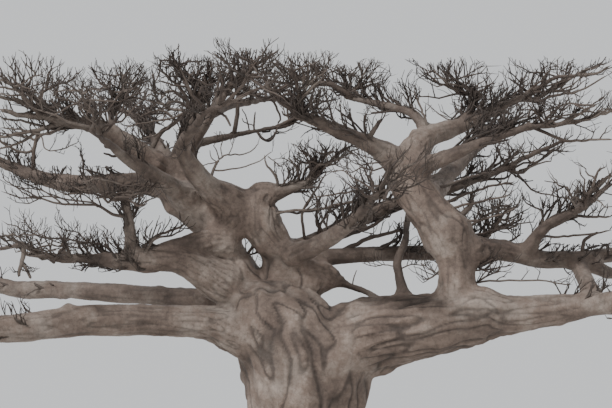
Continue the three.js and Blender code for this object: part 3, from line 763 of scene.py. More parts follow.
# %% Remesh the limbs into one skin
VOXEL = 0.05


def get_all(items, name, width, kind):
    """One property of all points, corners or faces, as an array with a row for each."""
    values = np.empty(len(items) * width, kind)
    items.foreach_get(name, values)
    return values.reshape(-1, width)


def remeshed(points, faces, voxel):
    """The joined tubes as one skin of small squares."""
    rough = make_mesh("rough_limbs", points, faces)
    change = rough.modifiers.new("skin", "REMESH")
    change.mode = "VOXEL"
    change.voxel_size = voxel
    done = rough.evaluated_get(bpy.context.evaluated_depsgraph_get())
    mesh = done.to_mesh()
    skin = get_all(mesh.vertices, "co", 3, np.float32).astype(float)
    squares = get_all(mesh.loops, "vertex_index", 1, np.int32).reshape(-1, 4)
    assert len(squares) == len(mesh.polygons)
    done.to_mesh_clear()
    old = rough.data
    bpy.data.objects.remove(rough)
    bpy.data.meshes.remove(old)
    return skin, squares


skin, skin_faces = remeshed(*join_arrays(tubes), VOXEL)
print("skin:", len(skin), "points,", len(skin_faces), "squares")

# %% [markdown]
# ### Which limb a point belongs to
# The skin has forgotten its limbs, but bark runs along them. So each point looks
# up the limb whose surface is nearest, and how much farther away the next limb
# is. That gap is small at a fork and large on open bark.

# %% Find the nearest limb of each point
CHUNK = 8000  # points at a time, to spare memory
NEAR_FORK = 0.2


def nearest_limbs(points):
    """For each point: its nearest sample, the limb's number, and how much farther the next limb is."""
    samples = np.empty(len(points), int)
    owners = np.empty(len(points), int)
    gaps = np.empty(len(points))
    centres = line_centres.astype(np.float32)
    owner_of = np.repeat(np.arange(len(limbs)), np.diff(line_starts))
    for first in range(0, len(points), CHUNK):
        chunk = points[first:first + CHUNK].astype(np.float32)
        apart = (chunk**2).sum(axis=1)[:, None] + (centres**2).sum(axis=1) - 2 * chunk @ centres.T
        outside = np.sqrt(np.maximum(apart, 0)) - line_radii.astype(np.float32)
        best = outside.argmin(axis=1)
        each = np.minimum.reduceat(outside, line_starts[:-1], axis=1)
        two = np.partition(each, 1, axis=1)[:, :2]
        last = first + len(chunk)
        samples[first:last] = best
        owners[first:last] = owner_of[best]
        gaps[first:last] = two[:, 1] - two[:, 0]
    return samples, owners, gaps


skin_samples, skin_owners, skin_gaps = nearest_limbs(skin)
print("points near a fork:", int((skin_gaps < NEAR_FORK).sum()))

# %% [markdown]
# ### Soft forks
# In wood that has grown together a fork is a soft saddle. Every point moves
# toward the mean of its neighbours, many times over, and much more at a fork than
# elsewhere: smoothed evenly, the thin limbs would shrink.

# %% Smooth the forks
FORK_WIDTH = 0.28
FORK_PULL, LEAST_PULL = 0.5, 0.02  # share of the way to the neighbours' mean, at a fork and elsewhere
FORK_ROUNDS = 40
LAST_PULL = 0.5


def edges_of(faces):
    corners = faces.shape[1]
    around = np.concatenate([faces[:, [i, (i + 1) % corners]] for i in range(corners)])
    return np.unique(np.sort(around, axis=1), axis=0)


def smoothed(values, edges, weights, rounds):
    """Each point's values move toward the mean of its neighbours, as far as its weight says."""
    count = np.bincount(edges.ravel(), minlength=len(values)).clip(1).astype(float)
    for _ in range(rounds):
        total = np.column_stack([
            np.bincount(edges[:, 0], values[edges[:, 1], k], len(values))
            + np.bincount(edges[:, 1], values[edges[:, 0], k], len(values)) for k in range(values.shape[1])])
        values = values + weights[:, None] * (total / count[:, None] - values)
    return values


def normals_of(points, faces):
    """Unit normal of each point, from the faces round it (squares or triangles)."""
    first, second, third, last = (points[faces[:, i]] for i in (0, 1, 2, -1))
    flat = np.cross(third - first, last - second)
    total = np.column_stack([sum(np.bincount(corner, flat[:, k], len(points)) for corner in faces.T)
                             for k in range(3)])
    return total / np.maximum(np.linalg.norm(total, axis=1, keepdims=True), TINY)


skin_edges = edges_of(skin_faces)
fork_weights = FORK_PULL * np.exp(-(skin_gaps / FORK_WIDTH) ** 2)
skin = smoothed(skin, skin_edges, np.maximum(fork_weights, LEAST_PULL), FORK_ROUNDS)
skin = smoothed(skin, skin_edges, np.full(len(skin), LAST_PULL), 1)
skin_normals = normals_of(skin, skin_faces)
print("forks smoothed; edges:", len(skin_edges))

# %% [markdown]
# ## Places on the bark
# Each point gets a place in its limb's own directions: two distances across and
# one along. Noise that is read at these places makes folds that run with the
# limb round every bend.

# %% Measure each point in its limb's own directions
FULL_GIRTH, LEAST_SIZE, SIZE_POWER = 1.2, 0.12, 0.75  # how the relief's size grows with a limb's girth
OPEN_FROM = 0.35  # gap to the next limb from which bark counts as open

sides = np.vstack([carried_sides(limb["axes"][None])[0] for limb in limbs.values()])
axes = np.vstack([limb["axes"] for limb in limbs.values()])
along = np.concatenate([np.arange(len(limb["radii"])) * SAMPLE_SPACING for limb in limbs.values()])
off = skin - line_centres[skin_samples]
skin_side, skin_axis = sides[skin_samples], axes[skin_samples]
bark_places = np.column_stack([
    (off * skin_side).sum(axis=1),
    (off * np.cross(skin_axis, skin_side)).sum(axis=1),
    along[skin_samples] + (off * skin_axis).sum(axis=1),
])
girth = line_radii[skin_samples]
size = np.clip(girth / FULL_GIRTH, LEAST_SIZE, 1) ** SIZE_POWER
open_bark = np.clip(skin_gaps / OPEN_FROM, 0, 1)
open_bark = open_bark**2 * (3 - 2 * open_bark)
usual_girth = np.array([np.median(limb["radii"]) for limb in limbs.values()])[skin_owners]
print("girth from", round(girth.min(), 3), "to", round(girth.max(), 2), "m")

# %% [markdown]
# ## The bark's relief
# A baobab's bark is smooth skin over soft wood. It sags into folds that run with
# the limb, is lined with creases, and wrinkles like an elbow at the forks. An
# image of bark would not change the outline, so these are heights that move the
# skin's points. Folds and creases are sized by one number for each limb, its
# usual girth, because a size that changes along the limb breaks them into spots.

# %% Raise the relief
FOLD_HEIGHT, FOLD_SIZE, FOLD_STRETCH, FOLD_GIRTHS = 0.075, 0.5, 0.2, (0.35, 1.3)
CREASE_DEPTH, CREASE_SIZE, CREASE_STRETCH, CREASE_GIRTHS = 0.05, 0.4, 0.18, (0.4, 1.1)
CREASE_WIDTH = 0.1
WRINKLE_HEIGHT, WRINKLE_SIZE, WRINKLE_SQUEEZE = 0.026, 0.2, (0.5, 0.5, 1.8)
LUMP_HEIGHT, LUMP_SIZE, LUMP_START = 0.1, 1.3, 5.3
SMALL_LUMP_HEIGHT, SMALL_LUMP_SIZE, SMALL_LUMP_START = 0.45 * LUMP_HEIGHT, LUMP_SIZE * 0.35, 9.1
PIT_HEIGHT, PIT_SIZE = 0.008, 0.13
CREST, SWING = 0.5, 2  # of the folds: height over the middle, and how far the noise takes them down
WRINKLE_CREST = 0.3
CREASE_AT_FORKS, WRINKLE_ON_OPEN = 0.3, 0.5  # share of the height that is left there
CREASE_POWER, WRINKLE_POWER, PIT_POWER = 0.8, 0.5, 0.3  # how each grows with the size
LIMB_STEP = (3.7, 1.9, 5.3)  # from one limb's noise to the next one's, so that no two are alike


def noise_at(points):
    """Smooth noise, from about -1 to 1, at each point."""
    return np.array([noise.noise(point) for point in points.tolist()])


def stretched_places(stretch, width, girths):
    """Places on the bark for noise that is drawn out along the limb and sized by its girth."""
    return bark_places * (1, 1, stretch) / (width * np.clip(usual_girth, *girths))[:, None]


own_start = skin_owners[:, None] * LIMB_STEP
folds = CREST - SWING * np.abs(noise_at(stretched_places(FOLD_STRETCH, FOLD_SIZE, FOLD_GIRTHS) + own_start))
crease_noise = noise_at(stretched_places(CREASE_STRETCH, CREASE_SIZE, CREASE_GIRTHS) - own_start)
creases = -np.exp(-(crease_noise / CREASE_WIDTH) ** 2)
wrinkles = WRINKLE_CREST - np.abs(noise_at(bark_places * WRINKLE_SQUEEZE / WRINKLE_SIZE))
lumps = noise_at(skin / LUMP_SIZE + LUMP_START)
small_lumps = noise_at(skin / SMALL_LUMP_SIZE + SMALL_LUMP_START)
pits = noise_at(skin / PIT_SIZE)
crease_share = CREASE_AT_FORKS + (1 - CREASE_AT_FORKS) * open_bark
wrinkle_share = WRINKLE_ON_OPEN + (1 - WRINKLE_ON_OPEN) * (1 - open_bark)
fine_relief = (CREASE_DEPTH * creases * size**CREASE_POWER * crease_share
               + WRINKLE_HEIGHT * wrinkles * wrinkle_share * size**WRINKLE_POWER
               + PIT_HEIGHT * pits * size**PIT_POWER)
relief = (FOLD_HEIGHT * folds * size * open_bark + LUMP_HEIGHT * lumps * size
          + SMALL_LUMP_HEIGHT * small_lumps * size + fine_relief)
print("relief from", round(relief.min(), 3), "to", round(relief.max(), 3), "m")

# %% [markdown]
# ## Knobs where branches fell
# A fallen branch leaves a knob, often with a hollow scar. Knobs are round hills in
# the relief, at places drawn by chance on thick limbs away from the forks. A
# search tree finds the points near a place fast.

# %% Add the knobs
KNOBS = 150
KNOB_SEED = 7
KNOB_LEAST_GIRTH, KNOB_LEAST_HEIGHT = 0.16, 1  # the thinnest limb and the lowest place with knobs
KNOB_WIDTHS, KNOB_GIRTH_SHARE, KNOB_GIRTH_MOST = (0.08, 0.16), 0.1, 1.2
KNOB_STEEPNESS = (0.25, 0.6)  # height over width
KNOB_REACH = 2.2  # in widths
SCARRED, SCAR_DEPTH, SCAR_WIDTH = 0.6, 0.75, 0.4  # share of knobs, and share of a knob's height and width

knob_draw = np.random.default_rng(KNOB_SEED)
finder = kdtree.KDTree(len(skin))
for number, point in enumerate(skin):
    finder.insert(point, number)
finder.balance()
bare = np.flatnonzero((girth > KNOB_LEAST_GIRTH) & (skin_gaps > NEAR_FORK) & (skin[:, 2] > KNOB_LEAST_HEIGHT))
for number in knob_draw.choice(bare, KNOBS, replace=False):
    width = knob_draw.uniform(*KNOB_WIDTHS) + KNOB_GIRTH_SHARE * min(girth[number], KNOB_GIRTH_MOST)
    height = width * knob_draw.uniform(*KNOB_STEEPNESS)
    scar = knob_draw.random() < SCARRED
    for _, other, apart in finder.find_range(skin[number], width * KNOB_REACH):
        relief[other] += height * math.exp(-(apart / width) ** 2)
        if scar:
            relief[other] -= SCAR_DEPTH * height * math.exp(-(apart / (SCAR_WIDTH * width)) ** 2)
print("knobs:", KNOBS)

# %% [markdown]
# ## Moving the skin
# Now every point moves along its normal by its relief. One light smoothing takes
# off the steps that the noise leaves between neighbours.

# %% Move the skin by its relief
RELIEF_PULL = 0.3

skin = skin + skin_normals * relief[:, None]
skin = smoothed(skin, skin_edges, np.full(len(skin), RELIEF_PULL), 1)
skin_normals = normals_of(skin, skin_faces)
print("highest point of the skin:", round(skin[:, 2].max(), 2), "m")

# %% [markdown]
# ## Fewer triangles
# Small squares are a waste on the calm stretches between folds, so the skin is
# thinned where it is flat. Relief, its fine part and girth are stored on the mesh
# first: the modifier carries them along, and the bark's colour reads them later.

# %% Thin the skin out
SKIN_TRIANGLES = 372000


def store_numbers(piece, stored):
    """Stores numbers for each point of a mesh under their names."""
    for name, numbers in stored.items():
        set_all(piece.data.attributes.new(name, "FLOAT", "POINT").data, "value", numbers, np.float32)


dense = make_mesh("dense_skin", skin, skin_faces)
store_numbers(dense, {"relief": relief, "crease_shade": fine_relief, "girth": girth})
thin = dense.modifiers.new("thin", "DECIMATE")
thin.ratio = SKIN_TRIANGLES / (2 * len(skin_faces))
thinned = dense.evaluated_get(bpy.context.evaluated_depsgraph_get())
print("thinned skin:", len(thinned.data.polygons), "triangles")

# %% [markdown]
# ## A level foot
# The tree stands on a flat cut at ground level. A plane cuts the mesh there, what
# is below goes away, and the open rim is filled with one face.

# %% Cut the trunk at ground level
def arrays_of(mesh):
    """Points, triangles and the stored numbers of a mesh."""
    mesh.calc_loop_triangles()
    points = get_all(mesh.vertices, "co", 3, np.float32).astype(float)
    triangles = get_all(mesh.loop_triangles, "vertices", 3, np.int32)
    stored = {name: get_all(mesh.attributes[name].data, "value", 1, np.float32)[:, 0]
              for name in ("relief", "crease_shade", "girth")}
    return points, triangles, stored


shape = bmesh.new()
shape.from_mesh(thinned.data)
everything = list(shape.verts) + list(shape.edges) + list(shape.faces)
cut = bmesh.ops.bisect_plane(shape, geom=everything, plane_co=(0, 0, 0), plane_no=(0, 0, 1), clear_inner=True)
rim = [part for part in cut["geom_cut"] if isinstance(part, bmesh.types.BMEdge)]
bmesh.ops.holes_fill(shape, edges=rim, sides=0)
level = bpy.data.meshes.new("level_skin")
shape.to_mesh(level)
shape.free()
skin, skin_faces, skin_numbers = arrays_of(level)
skin_normals = normals_of(skin, skin_faces)
for mesh in (level, dense.data):
    bpy.data.meshes.remove(mesh)
print("lowest point:", round(skin[:, 2].min(), 4), "m, rim of", len(rim), "edges")

# %% [markdown]
# ## Two pieces of bark
# Pieces of moderate size are handier, so the faces are shared out by limb: trunk
# and thick limbs, and the other boughs. Smoothing the shares gives a clean
# border. Each piece keeps the whole skin's normals, so light shows no seam there.

# %% Share out the skin
THICK_LIMBS = ("trunk", "leader_left", "leader_right", "bough_right_low", "bough_centre", "bough_left_low")
BORDER_PULL, BORDER_ROUNDS = 0.6, 12


def bark_piece(name, chosen):
    """A piece of the skin made of the chosen faces, lit with the whole skin's normals."""
    used, faces = np.unique(skin_faces[chosen], return_inverse=True)
    piece = make_mesh(name, skin[used], faces.reshape(-1, 3))
    store_numbers(piece, {name: numbers[used] for name, numbers in skin_numbers.items()})
    piece.data.normals_split_custom_set_from_vertices(skin_normals[used].tolist())
    print(name, len(piece.data.polygons), "triangles")
    return piece


_, skin_owners, _ = nearest_limbs(skin)
limb_names = list(limbs)
is_thick = np.isin(skin_owners, [limb_names.index(name) for name in THICK_LIMBS]).astype(float)
border_weights = np.full(len(skin), BORDER_PULL)
is_thick = smoothed(is_thick[:, None], edges_of(skin_faces), border_weights, BORDER_ROUNDS)[:, 0]
thick = is_thick[skin_faces].mean(axis=1) > 0.5
bark_trunk = bark_piece("bark_trunk", thick)
bark_boughs = bark_piece("bark_boughs", ~thick)

# %% [markdown]
# ## Openings between the layers
# A bare crown is not an even cloud. Its twigs lie in layers, and clear openings
# show between them. The openings are named boxes of the picture's plane, in metres
# from the trunk's middle and from ground level. No shoot may cross one of
# them, at any depth, so they stay open in the picture.

# %% Name the openings
OPENINGS = {  # left, right, bottom, top
    "over_bough_left_high": (-7.2, -5.8, 10.4, 11.5),
    "over_bough_left_high_end": (-8.6, -7.2, 10.4, 10.85),
    "over_leader_left": (-4.9, -4.1, 11.2, 11.75),
    "right_of_leader_left": (-3.4, -2.15, 10.1, 11.2),
    "under_crown_mid": (-3.1, -0.55, 11.5, 12.6),
    "over_bough_centre": (-2.1, -1.1, 10.2, 11.3),
    "right_of_bough_centre": (-0.9, -0.1, 8.2, 9.3),
    "left_of_leader_right": (0.6, 2.8, 6.1, 7.3),
    "right_of_bough_right_high": (6.9, 9.8, 9.95, 10.9),
    "under_bough_left_mid": (-9.8, -4.9, 6.65, 7.15),
    "over_bough_right_out": (7.8, 9.8, 7.9, 8.5),
}
OPENING_MARGIN = 0.1  # shoots may reach this little way into an opening


def in_opening(points):
    """Whether any point of a line would be seen in an opening: points (..., rings, 3)."""
    nearness = distance / (distance + points[..., 1])
    x = points[..., 0] * nearness
    z = EYE_HEIGHT + (points[..., 2] - EYE_HEIGHT) * nearness
    crosses = np.zeros(x.shape, bool)
    for left, right, bottom, top in OPENINGS.values():
        crosses |= ((x > left + OPENING_MARGIN) & (x < right - OPENING_MARGIN)
                    & (z > bottom + OPENING_MARGIN) & (z < top - OPENING_MARGIN))
    return crosses.any(axis=-1)


print("openings:", len(OPENINGS))

# %% [markdown]
# ## Stems and branches
# The stems and branches of the masses are the ones that the solids have, drawn
# smoother. More branches by the same rule, from a second row of draws and some of
# them lower, fill the spaces more evenly. None of them is straight: each point
# between root and tip is pushed a little aside, because a real branch changes
# course at every fork.

# %% Draw stems and branches
STEM_DRAWN_RINGS, STEM_WOBBLE = 16, 0.006
BRANCH_RINGS, WOBBLE = 8, 0.03  # the wobble is a share of the length, sideways at each ring
MORE_BRANCHES = 6
MORE_ROOTS = (0.25, 1.0)
MORE_DROOP = (0.1, 1.8)
MORE_SEED = 1000


def drawn_line(bends, rings, wobble, draws):
    """A limb's line drawn with more rings and pushed about between its ends."""
    bends = np.asarray(bends, float)
    centres, _, radii = sample_line(bends, rings)
    push = draws.normal(0, wobble * line_length(bends), centres.shape)
    push[0] = push[-1] = 0
    return centres + push, radii


def rows_of(lines):
    """Lines with equally many rings as two arrays: centres (lines, rings, 3) and radii (lines, rings)."""
    return np.array([centres for centres, _ in lines]), np.array([radii for _, radii in lines])


def bends_of(limb):
    return np.column_stack([limb[0], limb[2]])


stems, branches = {}, {}
for name, (middle, half, seed) in MASSES.items():
    draws = np.random.default_rng(seed)
    bends = stem_bends(BOUGHS["bough_" + name], middle, half)
    stems[name] = rows_of([drawn_line(bends, STEM_DRAWN_RINGS, STEM_WOBBLE, draws)])
    stem, *grown = mass_limbs[name]
    lines = [drawn_line(bends_of(limb), BRANCH_RINGS, WOBBLE, draws) for limb in grown]
    draw = seeded_draws(seed + MORE_SEED)
    for i in range(MORE_BRANCHES):
        root = place_on(stem, draw(MORE_ROOTS))
        extra = branch_sample(root, np.array(middle), half, i * BRANCH["turn"] + seed, draw, MORE_DROOP)
        line = drawn_line(bends_of(extra), BRANCH_RINGS, WOBBLE, draws)
        if inside_space(extra[0][1:], middle, half).all() and not in_opening(line[0]):
            lines.append(line)
    branches[name] = rows_of(lines)
print("branches:", sum(len(radii) for _, radii in branches.values()))

# %% [markdown]
# ## Small limbs by name
# Some limbs are too thin for the solids but plain to see: arches over the crown,
# side limbs that cross an opening, sprays at a bough's end. They are listed bend
# by bend, like the boughs, because no rule would draw just these. Each starts on
# another limb and is listed with the mass that it counts with.

# %% Small limbs on the left
SMALL_LIMBS = {}
SMALL_LIMBS["left_top"] = [
    [(-6.5, -1.8, 11.6, 0.2), (-7.3, -2.1, 11.75, 0.17), (-8.2, -2.4, 11.9, 0.13), (-9, -2.6, 12, 0.09),
     (-9.8, -2.8, 12.2, 0.06)],
    [(-7.6, -2.2, 11.8, 0.09), (-8.4, -2.4, 11.6, 0.075), (-9.2, -2.6, 11.4, 0.055),
     (-9.85, -2.7, 11.3, 0.04)],
    [(-8.4, -2.4, 11.6, 0.06), (-8.85, -2.4, 11.3, 0.05), (-9.35, -2.5, 11.05, 0.04),
     (-9.8, -2.6, 10.95, 0.03)],
    [(-7.3, -2, 11.7, 0.06), (-8.15, -2.2, 11.6, 0.05), (-8.95, -2.4, 11.8, 0.04),
     (-9.75, -2.6, 11.9, 0.03)],
    [(-7.6, -2.2, 11.75, 0.045), (-8.3, -2.4, 11.4, 0.04), (-9.1, -2.6, 11.55, 0.03),
     (-9.75, -2.8, 11.6, 0.022)],
    [(-8, -2.4, 11.95, 0.1), (-8.85, -2.5, 12.35, 0.08), (-9.35, -2.6, 12.5, 0.065),
     (-9.95, -2.8, 12.6, 0.05)],
    [(-8.1, -2.4, 12, 0.1), (-8.6, -2.3, 12.55, 0.075), (-9.05, -2.2, 12.95, 0.055),
     (-9.5, -2.2, 13.05, 0.045), (-9.95, -2.3, 13.2, 0.03)],
    [(-8.6, -2.3, 12.55, 0.06), (-8.9, -2.7, 12.75, 0.05), (-9.25, -3, 12.8, 0.04),
     (-9.85, -3.4, 12.9, 0.03)],
    [(-8.55, -2.35, 12.45, 0.06), (-8.4, -2.2, 12.75, 0.05), (-7.95, -2, 13, 0.04),
     (-7.6, -1.9, 13.1, 0.033), (-7.35, -1.8, 13.25, 0.025)],
    [(-8.3, -2.2, 12.85, 0.04), (-8.25, -2.1, 13.2, 0.035), (-8.2, -2, 13.4, 0.03),
     (-8.05, -2, 13.55, 0.02)],
    [(-8.9, -2.25, 12.9, 0.04), (-8.75, -2.4, 13.2, 0.035), (-8.65, -2.5, 13.35, 0.03),
     (-9, -2.6, 13.7, 0.018)],
    [(-9.25, -2.2, 13, 0.035), (-9.3, -2.4, 13.35, 0.03), (-9.45, -2.5, 13.6, 0.02)],
    [(-7.7, -2.2, 11.9, 0.05), (-7.9, -2.1, 12.5, 0.04), (-7.95, -2.1, 12.8, 0.03),
     (-7.9, -2, 13.05, 0.02)],
    [(-6.9, -1.8, 11.75, 0.045), (-7.1, -1.8, 12.5, 0.035), (-7.15, -1.7, 12.85, 0.025),
     (-7.2, -1.6, 13, 0.02)],
    [(-6.25, -1, 12, 0.06), (-6.25, -1.1, 12.75, 0.05), (-6.5, -1.3, 13, 0.04), (-6.7, -1.4, 13.25, 0.03),
     (-6.75, -1.5, 13.45, 0.02)],
    [(-6.2, -1.1, 12.8, 0.045), (-5.8, -1.3, 12.8, 0.035), (-5.3, -1.6, 12.95, 0.025)],
    [(-5.8, -1.3, 12.8, 0.03), (-5.9, -1.2, 13.2, 0.025), (-5.6, -0.9, 13.65, 0.018)],
    [(-5.7, -1.1, 10.9, 0.05), (-6.1, -1.2, 10.75, 0.045), (-6.35, -1.3, 10.8, 0.035),
     (-6.5, -1.3, 10.85, 0.025)],
]
SMALL_LIMBS["left_high"] = [
    [(-8.8, 1.85, 10.25, 0.08), (-8.8, 1.8, 10.95, 0.07), (-8.7, 1.7, 11.4, 0.06),
     (-8.7, 1.6, 11.65, 0.045)],
    [(-8.7, 1.75, 11.3, 0.045), (-8.95, 1.9, 11.45, 0.04), (-9.4, 2.2, 11.5, 0.03),
     (-10.05, 2.6, 11.65, 0.02)],
    [(-8.7, 1.7, 11.4, 0.04), (-8.4, 1.5, 11.55, 0.035), (-8, 1.3, 11.65, 0.028),
     (-7.65, 1.2, 11.65, 0.02)],
    [(-8.8, 1.8, 11, 0.05), (-9.15, 1.7, 10.95, 0.045), (-9.55, 1.6, 11.1, 0.038), (-10, 1.5, 11.4, 0.03)],
    [(-8.55, 1.6, 11.47, 0.025), (-8.4, 1.4, 11.05, 0.022), (-8, 1.2, 11, 0.02), (-7.7, 1.1, 11.1, 0.018),
     (-7.3, 1, 11.3, 0.014)],
    [(-7.2, 1.1, 10, 0.03), (-7.2, 1.1, 10.6, 0.022), (-7.3, 1.1, 10.9, 0.015)],
]
SMALL_LIMBS["left_riser"] = [
    [(-5.75, -2.05, 8.9, 0.06), (-6.05, -2.2, 8.8, 0.055), (-6.3, -2.3, 8.95, 0.05),
     (-6.65, -2.4, 9.1, 0.045), (-7.2, -2.6, 9.15, 0.04), (-7.85, -2.8, 9.2, 0.035),
     (-8.5, -2.9, 9.35, 0.03), (-9.1, -3, 9.4, 0.026), (-9.75, -3, 9.6, 0.02)],
    [(-6.5, -2.35, 9.05, 0.035), (-6.9, -2.3, 9.25, 0.03), (-7.55, -2.3, 9.3, 0.027),
     (-8.15, -2.3, 9.45, 0.024), (-8.8, -2.3, 9.45, 0.022), (-9.3, -2.2, 9.8, 0.02),
     (-9.6, -2.2, 9.9, 0.015)],
    [(-7.75, -2.3, 9.35, 0.022), (-8.5, -2.6, 9.65, 0.02), (-9.05, -2.7, 9.7, 0.018),
     (-9.5, -2.7, 9.8, 0.014)],
    [(-7.8, -2.8, 9.2, 0.03), (-8.2, -2.9, 9.5, 0.025), (-8.6, -3, 9.7, 0.02), (-9.2, -3, 9.95, 0.014)],
    [(-8.45, -2.9, 9.33, 0.026), (-8.9, -3.1, 9.6, 0.022), (-9.3, -3.2, 9.75, 0.018),
     (-9.7, -3.3, 10.05, 0.012)],
    [(-7.2, -2.6, 9.15, 0.028), (-7.5, -2.8, 9.42, 0.022), (-7.9, -3, 9.6, 0.018),
     (-8.3, -3.1, 9.85, 0.012)],
    [(-6.65, -2.4, 9.1, 0.028), (-6.95, -2.6, 9.4, 0.022), (-7.3, -2.8, 9.6, 0.014)],
    [(-8.5, -2.9, 9.35, 0.022), (-8.85, -2.8, 9.2, 0.018), (-9.3, -2.7, 9.25, 0.012)],
    [(-5.75, -2.1, 9.2, 0.04), (-5.95, -2, 9.45, 0.03), (-6.2, -1.9, 9.6, 0.02)],
    [(-5.75, -2.1, 9.2, 0.04), (-5.5, -2.2, 9.4, 0.03), (-5.2, -2.3, 9.45, 0.02)],
]
SMALL_LIMBS["left_mid"] = [
    [(-5.3, -1.6, 7.7, 0.05), (-4.9, -1.4, 8.15, 0.045), (-4.4, -1.1, 8.35, 0.04),
     (-3.8, -0.8, 8.6, 0.035)],
    [(-5.2, -1.9, 7.65, 0.05), (-4.8, -2.1, 8.1, 0.04), (-4.3, -2.2, 8.2, 0.03), (-3.9, -2.2, 8.4, 0.022)],
    [(-6.2, -2.1, 7.5, 0.045), (-6.3, -2, 7.8, 0.038), (-6.9, -1.9, 7.95, 0.034), (-7.55, -1.8, 8.1, 0.03),
     (-8.15, -1.8, 8.1, 0.026), (-8.8, -1.9, 8.3, 0.022), (-9.25, -2, 8.45, 0.02), (-9.75, -2, 8.7, 0.015)],
    [(-6.75, -1.9, 7.95, 0.024), (-7.2, -2, 7.8, 0.022), (-7.85, -2.2, 7.95, 0.02),
     (-8.5, -2.4, 8.2, 0.018), (-9.1, -2.5, 8.1, 0.014)],
    [(-7, -1.85, 8, 0.025), (-7.3, -1.7, 8.3, 0.022), (-7.75, -1.6, 8.4, 0.018), (-8.05, -1.5, 8.7, 0.014)],
    [(-8.15, -1.8, 8.1, 0.02), (-8.7, -1.6, 8.35, 0.018), (-8.9, -1.5, 8.55, 0.016),
     (-9, -1.4, 8.65, 0.012)],
    [(-6.9, -2.4, 7.45, 0.15), (-7.6, -2.65, 7.45, 0.13), (-8.1, -2.75, 7.5, 0.12), (-8.6, -2.9, 7.65, 0.1),
     (-9.05, -3, 7.9, 0.085), (-9.45, -3.2, 7.8, 0.05), (-9.9, -3.4, 7.8, 0.04)],
    [(-9, -3, 7.85, 0.085), (-9, -3, 7.55, 0.08), (-9.1, -3.05, 7.15, 0.065), (-9.15, -3.1, 6.85, 0.05)],
    [(-9.05, -3, 7.3, 0.06), (-8.9, -3, 7.1, 0.055), (-8.75, -3, 6.8, 0.045)],
]
print("small limbs:", sum(map(len, SMALL_LIMBS.values())))

# %% [markdown]
# ### Small limbs of the crown
# Over the left leader the crown is a tangle of arches. Some bend down and end in
# the open, and a few stand up past all the others.

# %% Small limbs over the left leader
SMALL_LIMBS["crown_left"] = [
    [(-3.75, 0, 12.3, 0.07), (-4, -0.2, 12.9, 0.055), (-4.35, -0.3, 13.2, 0.04),
     (-4.65, -0.4, 13.5, 0.025)],
    [(-3.6, 0.2, 12.5, 0.07), (-3.9, 0.4, 13.1, 0.05), (-4.05, 0.5, 13.45, 0.04), (-4.3, 0.6, 13.8, 0.02)],
    [(-3.85, -0.1, 12.55, 0.05), (-4.3, -0.4, 12.85, 0.045), (-4.7, -0.6, 12.75, 0.035),
     (-5.15, -0.7, 12.95, 0.02)],
    [(-3.75, 0, 12.35, 0.055), (-4.2, -0.5, 12.5, 0.045), (-4.65, -0.9, 12.4, 0.035),
     (-5.3, -1, 12.6, 0.02)],
    [(-3.55, 0.2, 12.65, 0.05), (-3.8, -0.4, 12.95, 0.04), (-4.3, -0.7, 13.05, 0.03),
     (-4.8, -0.8, 13.2, 0.02)],
    [(-5.1, -0.8, 10.7, 0.1), (-4.7, -0.8, 11.45, 0.08), (-4.4, -0.8, 11.7, 0.07), (-4.05, -0.8, 12, 0.065),
     (-3.85, -0.8, 12.2, 0.06)],
    [(-4.2, -0.8, 11.9, 0.05), (-4.6, -1, 12.2, 0.04), (-5, -1.2, 12.15, 0.03), (-5.35, -1.3, 12, 0.02)],
    [(-3.9, -0.8, 12.2, 0.055), (-4.4, -0.7, 12.3, 0.05), (-4.7, -0.6, 12.5, 0.045),
     (-4.85, -0.6, 12.7, 0.04), (-4.85, -0.6, 13.05, 0.035), (-4.95, -0.5, 13.45, 0.02)],
    [(-4.9, -0.6, 13.05, 0.025), (-4.7, -0.7, 13.45, 0.02), (-4.75, -0.8, 13.7, 0.014)],
    [(-3.85, -0.8, 12.18, 0.04), (-4.4, -1, 11.95, 0.034), (-5, -1.1, 11.85, 0.03),
     (-5.65, -1.2, 11.7, 0.024), (-5.9, -1.2, 11.45, 0.016)],
    [(-4.25, -0.8, 11.83, 0.035), (-4.7, -1.1, 11.5, 0.028), (-5.35, -1.2, 11.3, 0.022),
     (-5.8, -1.3, 11.5, 0.016)],
]
